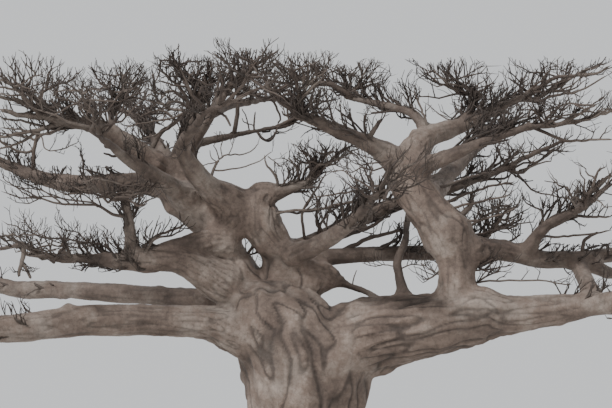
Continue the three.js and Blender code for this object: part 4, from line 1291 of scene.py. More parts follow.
SMALL_LIMBS["crown_mid"] = [
    [(-2.35, 0.85, 11.5, 0.08), (-2.25, 0.8, 12.1, 0.075), (-2.2, 0.7, 12.6, 0.065),
     (-2.2, 0.7, 12.9, 0.05), (-2.15, 0.6, 13.05, 0.035)],
    [(-2.65, -1.1, 12.7, 0.05), (-2, -1, 12.75, 0.045), (-1.45, -0.8, 12.65, 0.045),
     (-1.1, -0.6, 12.55, 0.04), (-0.95, -0.4, 12.25, 0.035), (-0.85, -0.2, 12, 0.03),
     (-0.95, 0, 11.75, 0.025)],
    [(-2.7, -1.1, 12.5, 0.035), (-2.25, -1.2, 12.45, 0.035), (-1.9, -1.1, 12.5, 0.03),
     (-1.6, -0.9, 12.6, 0.025)],
    [(-3.05, -0.8, 12.1, 0.05), (-2.7, -0.8, 12.1, 0.045), (-2.5, -0.8, 11.85, 0.04),
     (-2.45, -0.8, 11.7, 0.03)],
    [(-2.6, -1.2, 12.8, 0.09), (-2.15, -1.3, 13.15, 0.08), (-1.9, -1.3, 13.45, 0.07),
     (-1.65, -1.3, 13.65, 0.06), (-1.25, -1.2, 13.9, 0.045), (-0.85, -1.1, 14.2, 0.02)],
    [(-2.95, -0.9, 12.55, 0.06), (-2.7, -0.8, 13.05, 0.05), (-2.45, -0.7, 13.35, 0.04),
     (-2.25, -0.6, 13.8, 0.02)],
    [(-2.36, -0.65, 13.55, 0.03), (-2.6, -0.6, 13.75, 0.028), (-2.85, -0.5, 13.95, 0.022),
     (-3.05, -0.4, 14.1, 0.014)],
    [(-1.65, -1.3, 13.65, 0.035), (-1.9, -1.1, 13.8, 0.03), (-2.15, -1, 13.9, 0.025),
     (-2.35, -1, 14.15, 0.014)],
    [(-1.65, -1.3, 13.65, 0.035), (-1.8, -1, 13.85, 0.03), (-1.95, -0.8, 14.05, 0.022),
     (-1.95, -0.8, 14.25, 0.014)],
    [(-1.45, -1.2, 13.8, 0.035), (-1.4, -1.2, 14, 0.028), (-1.45, -1.2, 14.25, 0.014)],
]
SMALL_LIMBS["crown_back"] = [
    [(-1, 1.5, 11.75, 0.07), (-0.5, 1.7, 12, 0.055), (-0.1, 1.9, 12.2, 0.04)],
    [(-1.6, 1.2, 11.6, 0.045), (-1.45, 1.2, 11.4, 0.045), (-1.25, 1.25, 11.3, 0.045),
     (-1.1, 1.3, 11.4, 0.04), (-1, 1.4, 11.6, 0.035), (-0.95, 1.5, 11.75, 0.03)],
    [(-1, 1.4, 11.6, 0.022), (-0.75, 1.6, 11.6, 0.018), (-0.6, 1.6, 11.65, 0.014)],
    [(-1.7, 1.15, 11.6, 0.035), (-1.7, 1.1, 11.9, 0.03), (-1.65, 1, 12.25, 0.02)],
    [(-1.85, 1.1, 11.6, 0.025), (-1.95, 1, 12.05, 0.02), (-2.1, 0.9, 12.35, 0.014)],
    [(-1.7, 1.1, 11.8, 0.02), (-2, 1.2, 11.9, 0.018), (-2.1, 1.3, 12.05, 0.012)],
]
SMALL_LIMBS["front_centre"] = [
    [(-3.1, -1.3, 9.95, 0.055), (-2.95, -1.2, 10.4, 0.045), (-2.8, -1.2, 10.65, 0.038)],
    [(-2.8, -1.2, 10.65, 0.03), (-2.55, -1.1, 10.8, 0.027), (-2.15, -1, 10.8, 0.024),
     (-1.8, -0.9, 10.9, 0.02), (-1.6, -0.9, 11.1, 0.015), (-1.55, -0.9, 11.2, 0.012)],
    [(-2.8, -1.2, 10.65, 0.022), (-2.9, -1.3, 10.95, 0.018), (-3, -1.4, 11.1, 0.012)],
    [(-2.7, -1.2, 10.7, 0.02), (-2.75, -1.1, 11, 0.017), (-2.7, -1.1, 11.25, 0.012)],
    [(-2.5, -1.1, 10.8, 0.018), (-2.4, -1.2, 11, 0.015), (-2.35, -1.3, 11.2, 0.012)],
    [(-2.85, -1.2, 10.55, 0.022), (-3.15, -1.3, 10.5, 0.018), (-3.3, -1.4, 10.45, 0.016),
     (-3.55, -1.5, 10.45, 0.014), (-3.65, -1.5, 10.6, 0.012)],
    [(-2.85, -1.2, 10.55, 0.022), (-3.05, -1.2, 10.7, 0.017), (-3.1, -1.2, 10.95, 0.012)],
    [(-2.98, -1.22, 10.3, 0.03), (-2.6, -1.2, 10.3, 0.028), (-2.25, -1.1, 10.35, 0.025),
     (-1.9, -1, 10.45, 0.022), (-1.5, -1, 10.6, 0.02), (-1.25, -0.9, 10.8, 0.016),
     (-1.1, -0.9, 10.9, 0.012)],
    [(-1.25, -0.9, 10.75, 0.02), (-1, -0.9, 10.55, 0.016), (-0.85, -0.9, 10.4, 0.012)],
]
print("small limbs:", sum(map(len, SMALL_LIMBS.values())))

# %% [markdown]
# ### Small limbs in the middle
# Long thin limbs cross the wide opening between the two leaders, some from the
# left and some from the right, and a few rise from the limbs below it.

# %% Small limbs between the leaders
SMALL_LIMBS["centre"] = [
    [(-1.2, -0.6, 8.95, 0.05), (-0.2, -0.9, 9, 0.045), (0.75, -1, 9.15, 0.04), (1.7, -1.1, 9.4, 0.03),
     (2.65, -1.1, 9.7, 0.02)],
    [(-0.05, 0.4, 7.9, 0.06), (-0.1, 0.1, 8.3, 0.05), (-0.15, -0.3, 8.9, 0.045), (0.1, -0.6, 9.4, 0.04),
     (0.4, -0.8, 9.85, 0.03), (0.65, -0.9, 10.3, 0.02)],
    [(0.35, 0.7, 8.15, 0.055), (0.4, 0.4, 8.5, 0.045), (0.6, 0, 8.9, 0.04), (0.9, -0.4, 9.4, 0.03),
     (1.2, -0.7, 9.7, 0.02)],
    [(3, -1.3, 10, 0.045), (2, -1.4, 9.7, 0.04), (1.05, -1.4, 9.55, 0.03), (0.1, -1.3, 9.4, 0.02)],
    [(-2.1, 0.1, 7.35, 0.05), (-1.75, 0.1, 7.85, 0.05), (-1.4, 0.1, 8.05, 0.05)],
    [(-1.92, 0.12, 7.6, 0.035), (-1.4, 0.2, 7.75, 0.03)],
    [(-1.25, 0, 9, 0.045), (-0.1, 0.3, 9, 0.04), (1, 0.6, 9.2, 0.032), (2.1, 1, 9.45, 0.022)],
    [(1, 0.6, 7.7, 0.08), (1.95, 0.7, 8.15, 0.07), (2.5, 0.8, 8.3, 0.06), (3.1, 0.6, 8.45, 0.05)],
    [(0.9, 0.8, 8.1, 0.08), (1.4, 0.7, 8.3, 0.07), (2, 0.6, 8.5, 0.06), (2.5, 0.5, 8.85, 0.05)],
    [(0.6, 0.7, 8.2, 0.07), (0.3, 0.3, 8.7, 0.055), (0.35, -0.1, 9.3, 0.04), (0.1, -0.4, 9.8, 0.025)],
    [(-0.9, -0.6, 9.7, 0.06), (-1, -0.9, 10.1, 0.045), (-1.3, -1.1, 10.5, 0.03),
     (-1.35, -1.2, 10.8, 0.018)],
    [(0.1, -0.7, 9.95, 0.07), (0.3, -0.9, 10.4, 0.055), (0.8, -1.1, 10.6, 0.04), (1.5, -1.3, 10.9, 0.022)],
    [(-0.3, -0.6, 9.8, 0.05), (-0.3, -0.4, 10.3, 0.04), (-0.6, -0.3, 10.75, 0.025)],
    [(1.45, 0.1, 6.6, 0.025), (1.5, 0.1, 6.9, 0.02), (1.6, 0.1, 7.15, 0.014)],
    [(2.95, -0.4, 7.2, 0.02), (2.5, -0.3, 7.3, 0.018), (2.2, -0.2, 7.25, 0.015), (1.75, -0.1, 7.35, 0.012)],
    [(2.95, -0.6, 7.15, 0.025), (3.35, -0.7, 7.3, 0.02), (3.75, -0.8, 7.25, 0.015)],
    [(5.1, -1, 6.9, 0.045), (5.5, -1, 7.25, 0.035), (6, -1, 7.5, 0.022)],
    [(5.1, -1, 6.7, 0.04), (5.6, -1.1, 6.75, 0.035), (7.1, -1.1, 6.8, 0.03), (8.5, -1.1, 6.65, 0.02)],
    [(5.2, -1, 7.1, 0.035), (5.9, -0.9, 7.15, 0.028), (6.6, -0.8, 7.3, 0.018)],
    [(4.35, -1, 7.2, 0.035), (4, -1, 6.9, 0.028), (3.7, -1, 6.8, 0.018)],
    [(4.4, -1, 6.85, 0.025), (4, -1.1, 7.1, 0.02), (3.6, -1.2, 7.35, 0.015)],
]
print("small limbs:", sum(map(len, SMALL_LIMBS.values())))

# %% [markdown]
# ### Small limbs on the right
# On the right the small limbs carry the boughs' lines on, flatter and flatter,
# out to the edge of the crown.

# %% Small limbs on the right
SMALL_LIMBS["crown_right_inner"] = [
    [(-0.1, -2.7, 11.95, 0.13), (-0.5, -2.7, 12.2, 0.11), (-0.85, -2.7, 12.45, 0.09),
     (-1.1, -2.7, 12.75, 0.075), (-1.35, -2.7, 13, 0.055)],
    [(-0.35, -2.7, 12.1, 0.04), (-0.7, -2.8, 12, 0.03), (-0.8, -2.9, 12.15, 0.02)],
    [(-1.1, -2.7, 12.75, 0.045), (-0.7, -2.9, 12.9, 0.035), (-0.45, -3, 13.1, 0.03),
     (-0.2, -3.1, 13.15, 0.02)],
    [(1.8, -1.7, 11.1, 0.1), (2.1, -1.8, 11.5, 0.085), (2.35, -1.9, 11.9, 0.06)],
]
SMALL_LIMBS["crown_right_over"] = [
    [(1.5, 1.5, 12.7, 0.11), (1.05, 1.4, 13, 0.1), (0.6, 1.3, 13.15, 0.09), (0.1, 1.2, 13.15, 0.08),
     (-0.2, 1.1, 13.3, 0.07), (-0.5, 1, 13.4, 0.06), (-0.6, 0.9, 13.6, 0.045)],
    [(-0.05, 1.15, 13.22, 0.04), (-0.1, 1.1, 13.45, 0.035), (-0.2, 1, 13.65, 0.03),
     (-0.45, 0.9, 13.8, 0.025), (-0.6, 0.8, 14, 0.015)],
    [(0.05, 1.2, 13.17, 0.03), (0.05, 1.2, 13.55, 0.025), (0.05, 1.1, 13.95, 0.012)],
    [(3.95, -0.3, 11.5, 0.055), (3.65, -0.2, 12.3, 0.035), (3.4, -0.1, 12.9, 0.02)],
]
SMALL_LIMBS["right_top"] = [
    [(6.1, 0.85, 12.3, 0.12), (6.5, 1, 12.5, 0.1), (7.55, 1.1, 13.1, 0.075), (8.05, 1.1, 13.35, 0.06),
     (9.2, 1.2, 13.45, 0.045), (9.8, 1.3, 13.75, 0.03)],
    [(5.4, 0.5, 11.95, 0.055), (5.65, 0.5, 12.5, 0.04), (5.7, 0.5, 13, 0.025)],
    [(7, 1.05, 12.75, 0.05), (7.4, 0.8, 12.55, 0.05), (8, 0.6, 12.75, 0.045), (8.75, 0.5, 12.9, 0.035),
     (9.75, 0.4, 13.45, 0.02)],
]
SMALL_LIMBS["right_high"] = [
    [(6.6, -2.6, 11.5, 0.12), (7.25, -2.7, 11.65, 0.1), (8.4, -2.9, 11.8, 0.07), (9.55, -3, 12.1, 0.045),
     (10.2, -3.1, 12.3, 0.03)],
    [(7.2, -2.7, 11.6, 0.06), (8.2, -3, 11.2, 0.05), (9, -3.2, 11.2, 0.04), (9.7, -3.4, 11.2, 0.03)],
]
SMALL_LIMBS["right_cross"] = [
    [(6.1, 3.5, 10.35, 0.1), (7.65, 3.8, 11.1, 0.07), (8.35, 3.9, 11.4, 0.05)],
    [(6.3, 3.55, 10.45, 0.045), (6.65, 3.6, 10.4, 0.04), (6.9, 3.6, 10.2, 0.035), (7.1, 3.6, 9.95, 0.032),
     (7.35, 3.7, 9.75, 0.03), (7.7, 3.7, 9.65, 0.026), (8.2, 3.8, 9.55, 0.022), (8.7, 3.8, 9.45, 0.018),
     (8.85, 3.8, 9.3, 0.012)],
]
SMALL_LIMBS["right_mid"] = [
    [(4.2, -0.9, 9.2, 0.06), (5.55, -0.5, 9.7, 0.045), (6.65, -0.2, 9.95, 0.025)],
    [(4.3, -1.1, 9, 0.05), (5.55, -1.2, 9.3, 0.04), (6.5, -1.3, 9.5, 0.025)],
    [(3.8, -0.7, 9.6, 0.06), (5.2, 0.2, 10.1, 0.045), (6, 0.8, 10.35, 0.025)],
    [(4.6, -1, 8.65, 0.045), (5.7, -1.4, 8.75, 0.035), (6.7, -1.7, 9.1, 0.022)],
    [(5.2, -0.8, 7.4, 0.04), (5.55, -0.9, 7.15, 0.03), (6, -1, 7, 0.02)],
    [(5.1, -0.9, 6.5, 0.04), (5.7, -1, 6.9, 0.03), (6.2, -1, 7.1, 0.02)],
    [(4.6, -0.8, 8.6, 0.12), (5.2, -0.6, 9.15, 0.09), (5.25, -0.5, 9.65, 0.05)],
    [(4.9, -0.7, 8.35, 0.055), (5.55, -0.4, 8.7, 0.045), (5.85, -0.2, 8.95, 0.04), (6.5, 0, 9.1, 0.03),
     (6.8, 0.1, 9.2, 0.02)],
    [(5.2, -0.6, 8.2, 0.045), (6, -0.5, 8.4, 0.035), (6.55, -0.4, 8.5, 0.03), (6.8, -0.4, 8.6, 0.025),
     (7.3, -0.4, 8.65, 0.018)],
]
SMALL_LIMBS["right_riser"] = [
    [(8.6, -1.9, 9, 0.12), (8.85, -2, 9.45, 0.09), (9.2, -2.2, 9.75, 0.075), (9.5, -2.3, 10, 0.06),
     (9.7, -2.4, 10.2, 0.045)],
    [(8.4, -1.7, 8.85, 0.055), (9, -1.7, 8.8, 0.045), (9.7, -1.6, 8.8, 0.03)],
    [(7.4, -0.6, 8.2, 0.045), (8.05, -0.5, 8.2, 0.038), (8.85, -0.4, 8.25, 0.035),
     (9.75, -0.3, 8.4, 0.025)],
    [(8.8, 0.3, 7.6, 0.07), (8.9, 0.2, 8.1, 0.06), (9.35, 0.1, 8.35, 0.04)],
    [(7.45, -0.65, 8.3, 0.045), (7.5, -0.8, 8.95, 0.035), (7.1, -0.9, 9.2, 0.025),
     (6.85, -0.9, 9.45, 0.018)],
]
print("small limbs:", sum(map(len, SMALL_LIMBS.values())))

# %% [markdown]
# ### From bends to lines
# The small limbs are drawn like the branches, with more rings and less wobble,
# because their bends already say how crooked they are.

# %% Draw the small limbs
SMALL_LIMB_RINGS, SMALL_WOBBLE = 16, 0.006
SMALL_SEED = 3

small_draws = np.random.default_rng(SMALL_SEED)
small_limbs = {
    name: rows_of([drawn_line(bends, SMALL_LIMB_RINGS, SMALL_WOBBLE, small_draws) for bends in lines])
    for name, lines in SMALL_LIMBS.items()
}
print("small limbs drawn:", sum(len(radii) for _, radii in small_limbs.values()))

# %% [markdown]
# ## Shoots on branches, and shoots on shoots
# A twig bears shorter twigs, and those bear shorter ones again, most of them on
# the upper side and bending upward to the light. One function grows the next,
# finer row of shoots on any row of limbs, so the crown is that function used
# again and again. A shoot that would leave its space is made shorter, and after
# three tries it is left out.

# %% Grow shoots
SHOOT_CROOK, SHOOT_RISE = 0.18, 0.06  # change of direction at each ring, by chance and upward
ROOT_SPREAD = (0.1, 0.9)  # place of a root in its own stretch of the carrier
SEAT_DEPTH = 0.7  # of the carrier's half thickness, from its middle to a shoot's root
OUTWARD, UPWARD = (0.5, 1.0), 0.6
LENGTHS, ROOT_LENGTH, LENGTH_LOSS = (0.5, 1.25), 1.15, 0.45  # shoots are longer near the carrier's root
THICKNESSES, OF_CARRIER, THINNEST = (0.75, 1.25), 0.8, 0.012
END_THICKNESS = 0.7  # of the root's, just before the pointed end
BLUNT_END = 0.12  # length of the last, closing span beside the others
TRIES, SHORTER = 3, 0.6


def roots_on(parents, count, draws, start, lean_up):
    """For each shoot: root, parent's axis, way out, parent's thickness, and share of its length."""
    centres, radii = parents
    tubes, spans = len(radii), centres.shape[1] - 1
    share = start + (1 - start) * (np.arange(count) + draws.uniform(*ROOT_SPREAD, (tubes, count))) / count
    place = share * spans
    ring = np.minimum(place.astype(int), spans - 1)
    rest = (place - ring)[..., None]
    tube = np.arange(tubes)[:, None]
    near, far = centres[tube, ring], centres[tube, ring + 1]
    axes = (far - near) / np.linalg.norm(far - near, axis=2, keepdims=True)
    carrier = radii[tube, ring] * (1 - rest[..., 0]) + radii[tube, ring + 1] * rest[..., 0]
    out = draws.normal(size=axes.shape) + (0, 0, lean_up)
    out -= (out * axes).sum(axis=2, keepdims=True) * axes
    out /= np.linalg.norm(out, axis=2, keepdims=True)
    roots = near + (far - near) * rest + out * carrier[..., None] * SEAT_DEPTH
    return roots, axes, out, carrier, share


def crooked_steps(heading, rings, draws):
    """The steps of lines of length 1 that start in a heading and wander upward."""
    steps = np.empty((len(heading), rings - 1, 3))
    for step in range(rings - 1):
        heading = heading + draws.normal(0, SHOOT_CROOK, heading.shape) + (0, 0, SHOOT_RISE)
        heading /= np.linalg.norm(heading, axis=1, keepdims=True)
        steps[:, step] = heading
    spans = np.append(np.ones(rings - 2), BLUNT_END)
    return steps * (spans / spans.sum())[:, None]


def grow_shoots(parents, fits_space, draws, count, length, thickness, rings,
                start=0.18, lean_up=0.5, ahead=0.9):
    """The next row of limbs: (centres, radii) of shoots that leave the parents along their length."""
    roots, axes, out, carrier, share = roots_on(parents, count, draws, start, lean_up)
    heading = ahead * axes + out * draws.uniform(*OUTWARD, (*share.shape, 1)) + (0, 0, UPWARD * lean_up)
    reach = length * draws.uniform(*LENGTHS, share.shape) * (ROOT_LENGTH - LENGTH_LOSS * share)
    roots, heading = roots.reshape(-1, 3), heading.reshape(-1, 3)
    reach, carrier = reach.ravel(), carrier.ravel()
    heading /= np.linalg.norm(heading, axis=1, keepdims=True)
    steps = crooked_steps(heading, rings, draws)
    thick = thickness * draws.uniform(*THICKNESSES, len(roots))
    thick = np.minimum(thick, np.maximum(carrier * OF_CARRIER, THINNEST))
    taper = np.append(np.linspace(1, END_THICKNESS, rings - 1), 0)
    alive = np.zeros(len(roots), bool)
    lines = np.empty((len(roots), rings, 3))
    from_root = np.concatenate([np.zeros((len(roots), 1, 3)), np.cumsum(steps, axis=1)], axis=1)
    for _ in range(TRIES):
        trial = roots[:, None] + from_root * reach[:, None, None]
        fits = ~alive & fits_space(trial)
        lines[fits] = trial[fits]
        alive |= fits
        reach = reach * SHORTER
    return lines[alive], thick[alive, None] * taper


print("tries for each shoot:", TRIES)

# %% [markdown]
# ## Where shoots may grow
# A mass is no egg: its outside comes and goes in lumps, made by three waves, with
# hollows deeper than the lumps are high. The finest twigs may reach a little past
# it. The tree has to stay near the box of its solids, so these and the shoots
# outside the masses are tested against that box, and all against the openings.

# %% Test the spaces
LUMP_LENGTH, LUMP_DEPTH, LUMP_SHIFTS = 2.0, 0.3, (1.0, 2.3, 4.1)
LUMP_SWING, LUMP_MIDDLE, LUMP_RANGE = 1.5, 0.5, (-1, 0.3)
BOX_ROOM, OUTSIDE_ROOM = 0.1, 0.4  # inside the solids' box for most shoots, and past that for the finest

box_low, box_high = np.array(cad_box[0]) + BOX_ROOM, np.array(cad_box[1]) - BOX_ROOM


def in_box(lines, room=0.0):
    """Whether lines stay in the box of the solids."""
    return ((lines > box_low - room) & (lines < box_high + room)).all(axis=(1, 2))


def fits_box(lines):
    return in_box(lines) & ~in_opening(lines)


def lumpy_space(lines, middle, half, room):
    """Whether lines stay in a mass whose outside is broken into lumps."""
    shifts = np.asarray(middle) * LUMP_SHIFTS
    waves = np.sin(np.asarray(lines) * 2 * math.pi / LUMP_LENGTH + shifts).sum(axis=-1)
    lump = room + LUMP_DEPTH * (waves / LUMP_SWING - LUMP_MIDDLE).clip(*LUMP_RANGE)
    return inside_space(lines, middle, half, lump[..., None]).all(axis=1) & ~in_opening(lines)


print("box for the shoots:", (box_high - box_low).round(2), "m")

# %% [markdown]
# ## Twigs of the masses
# Each mass gets shoots on its stem, twigs on its branches, and short spurs on
# both. The counts are chosen dense enough for a crown and open enough to see
# through. Some masses are airier, and bear only a share of the shoots.

# %% Grow the twigs of the masses
STEM_SHOOTS = {"count": 6, "length": 1.3, "thickness": 0.036, "rings": 6, "start": 0.3}
TWIGS = {"count": 4, "length": 0.9, "thickness": 0.028, "rings": 5}
SPURS = {"count": 2, "length": 0.52, "thickness": 0.024, "rings": 4, "start": 0.3}
STEM_SPURS = SPURS | {"count": 5, "start": 0.25}
SPUR_SPACE = 1.12  # of the mass's space, for the spurs
AIRY = {
    "right_mid": 0.4, "left_riser": 0.5, "back_right": 0.5, "left_top": 0.6, "left_top_inner": 0.7,
    "centre": 0.7, "front_centre": 0.7,
}
TWIG_SEED = 500
TWIG_CORNERS, SPUR_CORNERS = 4, 3


def fewer(row, share):
    """The numbers of a row with only a share of its shoots."""
    return row | {"count": round(row["count"] * share)}


def tubes_of(rows, corners):
    return [pointed_tubes(*row, corners) for row in rows]


crown = {}
for name, (middle, half, seed) in MASSES.items():
    share = AIRY.get(name, 1)
    draws = np.random.default_rng(seed + TWIG_SEED)

    def fits_mass(lines, middle=middle, half=half):
        return lumpy_space(lines, middle, half, 1.0)

    def fits_outside(lines, middle=middle, half=half):
        return lumpy_space(lines, middle, half, SPUR_SPACE) & in_box(lines, OUTSIDE_ROOM)

    on_stem = grow_shoots(stems[name], fits_mass, draws, **fewer(STEM_SHOOTS, share))
    twigs = grow_shoots(branches[name], fits_mass, draws, **fewer(TWIGS, share))
    spurs = grow_shoots(twigs, fits_outside, draws, **SPURS)
    stem_spurs = grow_shoots(on_stem, fits_outside, draws, **STEM_SPURS)
    crown[name] = tubes_of((on_stem, twigs), TWIG_CORNERS) + tubes_of((spurs, stem_spurs), SPUR_CORNERS)
print("triangles in the masses:", sum(len(faces) for rows in crown.values() for _, faces in rows))

# %% [markdown]
# ## Side limbs on the boughs
# The boughs are not bare up to their masses. Side limbs stand along their upper
# sides and run ahead with the bough more than out from it, and they bear twigs
# and spurs. They keep to the solids' box and out of the openings.

# %% Shoots on boughs
BOUGH_SHOOTS = {  # the bough's mass: where they begin (share of its length), how many, length
    "left_low": (0.62, 16, 0.9),
    "left_back": (0.5, 16, 0.9),
    "left_mid": (0.32, 34, 0.9),
    "left_riser": (0.2, 12, 0.8),
    "left_high": (0.25, 34, 0.6),
    "left_top": (0.45, 26, 1.2),
    "left_top_inner": (0.3, 10, 0.8),
    "crown_left": (0.5, 20, 1.0),
    "crown_mid": (0.45, 14, 0.9),
    "crown_back": (0.4, 8, 0.5),
    "centre": (0.66, 22, 0.8),
    "front_centre": (0.6, 18, 0.9),
    "front_left": (0.45, 22, 1.0),
    "front_right": (0.45, 22, 1.0),
    "back_left": (0.45, 22, 1.0),
    "back_centre": (0.45, 22, 1.0),
    "back_right": (0.6, 14, 1.1),
    "back_low": (0.5, 20, 0.9),
    "right_cross": (0.3, 40, 1.5),
    "right_mid": (0.35, 24, 1.1),
    "right_low": (0.66, 18, 0.9),
    "crown_right_inner": (0.35, 24, 1.4),
    "right_top": (0.5, 20, 1.7),
    "crown_right_over": (0.25, 22, 0.9),
    "right_top_inner": (0.2, 8, 0.7),
    "right_high": (0.35, 20, 1.8),
    "right_out": (0.35, 30, 0.8),
    "right_riser": (0.25, 20, 1.0),
}
SIDE_LIMBS = {"thickness": 0.042, "rings": 7, "lean_up": 0.35, "ahead": 2.2}
SIDE_TWIGS = {"count": 4, "length": 0.55, "thickness": 0.028, "rings": 5, "start": 0.3}
SIDE_SPURS = {"count": 2, "length": 0.34, "thickness": 0.022, "rings": 4, "start": 0.3}
BOUGH_RINGS = 40
SIDE_SEED = 900

for name, (start, count, length) in BOUGH_SHOOTS.items():
    draws = np.random.default_rng(count + SIDE_SEED)
    centres, _, radii = sample_line(BOUGHS["bough_" + name], BOUGH_RINGS)
    bough = (centres[None], radii[None])
    side_limbs = grow_shoots(bough, fits_box, draws, count, length, start=start, **SIDE_LIMBS)
    twigs = grow_shoots(side_limbs, fits_box, draws, **SIDE_TWIGS)
    spurs = grow_shoots(twigs, fits_box, draws, **SIDE_SPURS)
    crown[name] += tubes_of([side_limbs], TWIG_CORNERS) + tubes_of((twigs, spurs), SPUR_CORNERS)
print("boughs with side limbs:", len(BOUGH_SHOOTS))

# %% [markdown]
# ## Twigs on the small limbs
# A bare small limb would look like wire. Each bears a few twigs, and those bear
# spurs, shorter than in the masses.

# %% Shoots on small limbs
LIMB_TWIGS = {"count": 6, "length": 0.5, "thickness": 0.025, "rings": 5, "start": 0.25, "lean_up": 0.8}
LIMB_SPURS = {"count": 2, "length": 0.32, "thickness": 0.02, "rings": 4, "start": 0.3}
LIMB_SEED = 40

for name, lines in small_limbs.items():
    draws = np.random.default_rng(len(lines[1]) + LIMB_SEED)
    twigs = grow_shoots(lines, fits_box, draws, **LIMB_TWIGS)
    spurs = grow_shoots(twigs, fits_box, draws, **LIMB_SPURS)
    crown[name] += tubes_of((twigs, spurs), SPUR_CORNERS)
print("triangles in the twigs:", sum(len(faces) for rows in crown.values() for _, faces in rows))

# %% [markdown]
# ## Pieces of twigs
# All masses in one mesh would be heavy to handle, and a mesh for each would be
# too many. Four meshes by region are a fair middle. Each one hides the masses of
# the solids that it takes the place of.

# %% Join the twigs into pieces
TWIG_PIECES = {
    "twigs_left": ("left_low", "left_back", "left_mid", "left_riser", "left_high", "left_top",
                   "left_top_inner"),
    "twigs_top": ("crown_left", "crown_mid", "crown_back", "centre", "front_centre", "front_left",
                  "front_right"),
    "twigs_back": ("back_left", "back_centre", "back_right", "back_low", "right_cross", "right_mid",
                   "crown_right_over"),
    "twigs_right": ("right_low", "crown_right_inner", "right_top", "right_top_inner", "right_high",
                    "right_out", "right_riser"),
}
pieces = []
for title, members in TWIG_PIECES.items():
    parts = [part for name in members for part in crown[name]]
    piece = make_mesh(title, *join_arrays(parts))
    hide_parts(*("twigs_" + name for name in members))
    pieces.append(piece)
    print(title, len(piece.data.polygons), "triangles")

# %% [markdown]
# ## Stems in bark
# Stems, branches and small limbs are old enough for the boughs' bark, so they are
# a piece of their own. They are rounder than twigs, because they are thicker.
# Then the solids that the bark replaces are hidden.

# %% Join the stems and hide what the bark replaces
STEM_CORNERS, BRANCH_CORNERS, SMALL_LIMB_CORNERS = 12, 6, 7

parts = []
for name in MASSES:
    parts += tubes_of([stems[name]], STEM_CORNERS) + tubes_of([branches[name]], BRANCH_CORNERS)
    if name in small_limbs:
        parts += tubes_of([small_limbs[name]], SMALL_LIMB_CORNERS)
bark_stems = make_mesh("bark_stems", *join_arrays(parts))
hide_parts(*("twigs_" + name for name in MASSES))
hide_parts(*THICK_LIMBS)
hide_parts(*(name for name in BOUGHS if name not in THICK_LIMBS))
for piece in (bark_trunk, bark_boughs, bark_stems):
    pieces.append(piece)
print("branch triangles:", len(bark_stems.data.polygons))

# %% [markdown]
# ## Nodes for the bark
# A material is a net of nodes. It is easier to read in code when one helper makes
# a node, sets its values and wires its inputs. The others name what is done most:
# turning one range of numbers into another, noise, and darkening a colour.

# %% Helpers for nodes
def new_node(tree, kind, values=(), wired=(), **options):
    """A shader node with its options set, values in some sockets and links into others."""
    node = tree.nodes.new("ShaderNode" + kind)
    for option, value in options.items():
        setattr(node, option, value)
    for socket, value in dict(values).items():
        node.inputs[socket].default_value = value
    for socket, source in dict(wired).items():
        tree.links.new(source, node.inputs[socket])
    return node


def ranged(tree, source, low_in, high_in, low_out, high_out):
    """One range of numbers turned into another."""
    ends = {"From Min": low_in, "From Max": high_in, "To Min": low_out, "To Max": high_out}
    return new_node(tree, "MapRange", ends, {"Value": source}).outputs["Result"]


def noise_node(tree, place, scale, detail, roughness):
    values = {"Scale": scale, "Detail": detail, "Roughness": roughness}
    return new_node(tree, "TexNoise", values, {"Vector": place})


def darkened(tree, colour, factor):
    """A colour multiplied by a factor."""
    node = new_node(tree, "Mix", {"Factor": 1.0}, {"A": colour, "B": factor},
                    data_type="RGBA", blend_type="MULTIPLY")
    return node.outputs["Result"]


print("helpers:", [helper.__name__ for helper in (new_node, ranged, noise_node, darkened)])

# %% [markdown]
# ## The bark's colour
# Dry baobab bark is grey with a brown and slightly red cast, blotched, and dull.
# Shade is painted into the folds: the colour is darker where the relief is low,
# and darker again in the creases. Young, thin limbs are darker. The relief is
# stored on the mesh as a number for each point, and so are its finest part, the
# crease shade, and the limb's girth. The colour reads all three, so the painted
# shade lies in the folds and creases and follows every limb, and no limb changes
# colour at a joint. Noise in the material adds blotches, fine cracks and a rough touch.

# %% Make the materials
BLOTCHES = {"scale": 0.55, "detail": 9.0, "roughness": 0.72}
TONE_PLACES = (0.36, 0.5, 0.66)  # of the low, middle and high tone in the blotches' noise
# The relief and its finest part paint shade into the folds and creases; girth darkens young, thin limbs,
# which is their own tone
STORED_SHADES = {  # stored number: where it is darkest, where it is clear, and the darkest factor
    "relief": (-0.1, 0.05, 0.62), "crease_shade": (-0.045, 0.004, 0.5), "girth": (0.08, 0.5, 0.55),
}
CRACK_WIDTH, CRACK_DARKEST = 0.05, 0.72
BEND, BEND_SCALE, BEND_NOISE = 0.25, 0.7, {"detail": 4.0, "roughness": 0.6}  # what makes the cracks crooked
FINE_SCALE, FINE_NOISE = 2.5, {"detail": 6.0, "roughness": 0.6}
FINE_HEIGHT = 0.7  # of the cracks' depth
ROUGHNESSES = (0.72, 0.95)
BUMP = {"Strength": 0.6, "Distance": 0.025}
BARK_TONES, BARK_CRACKS = ((0.095, 0.066, 0.052), (0.18, 0.133, 0.107), (0.32, 0.265, 0.225)), 6.0
TWIG_TONES, TWIG_CRACKS = ((0.07, 0.05, 0.04), (0.12, 0.088, 0.071), (0.19, 0.148, 0.123)), 14.0


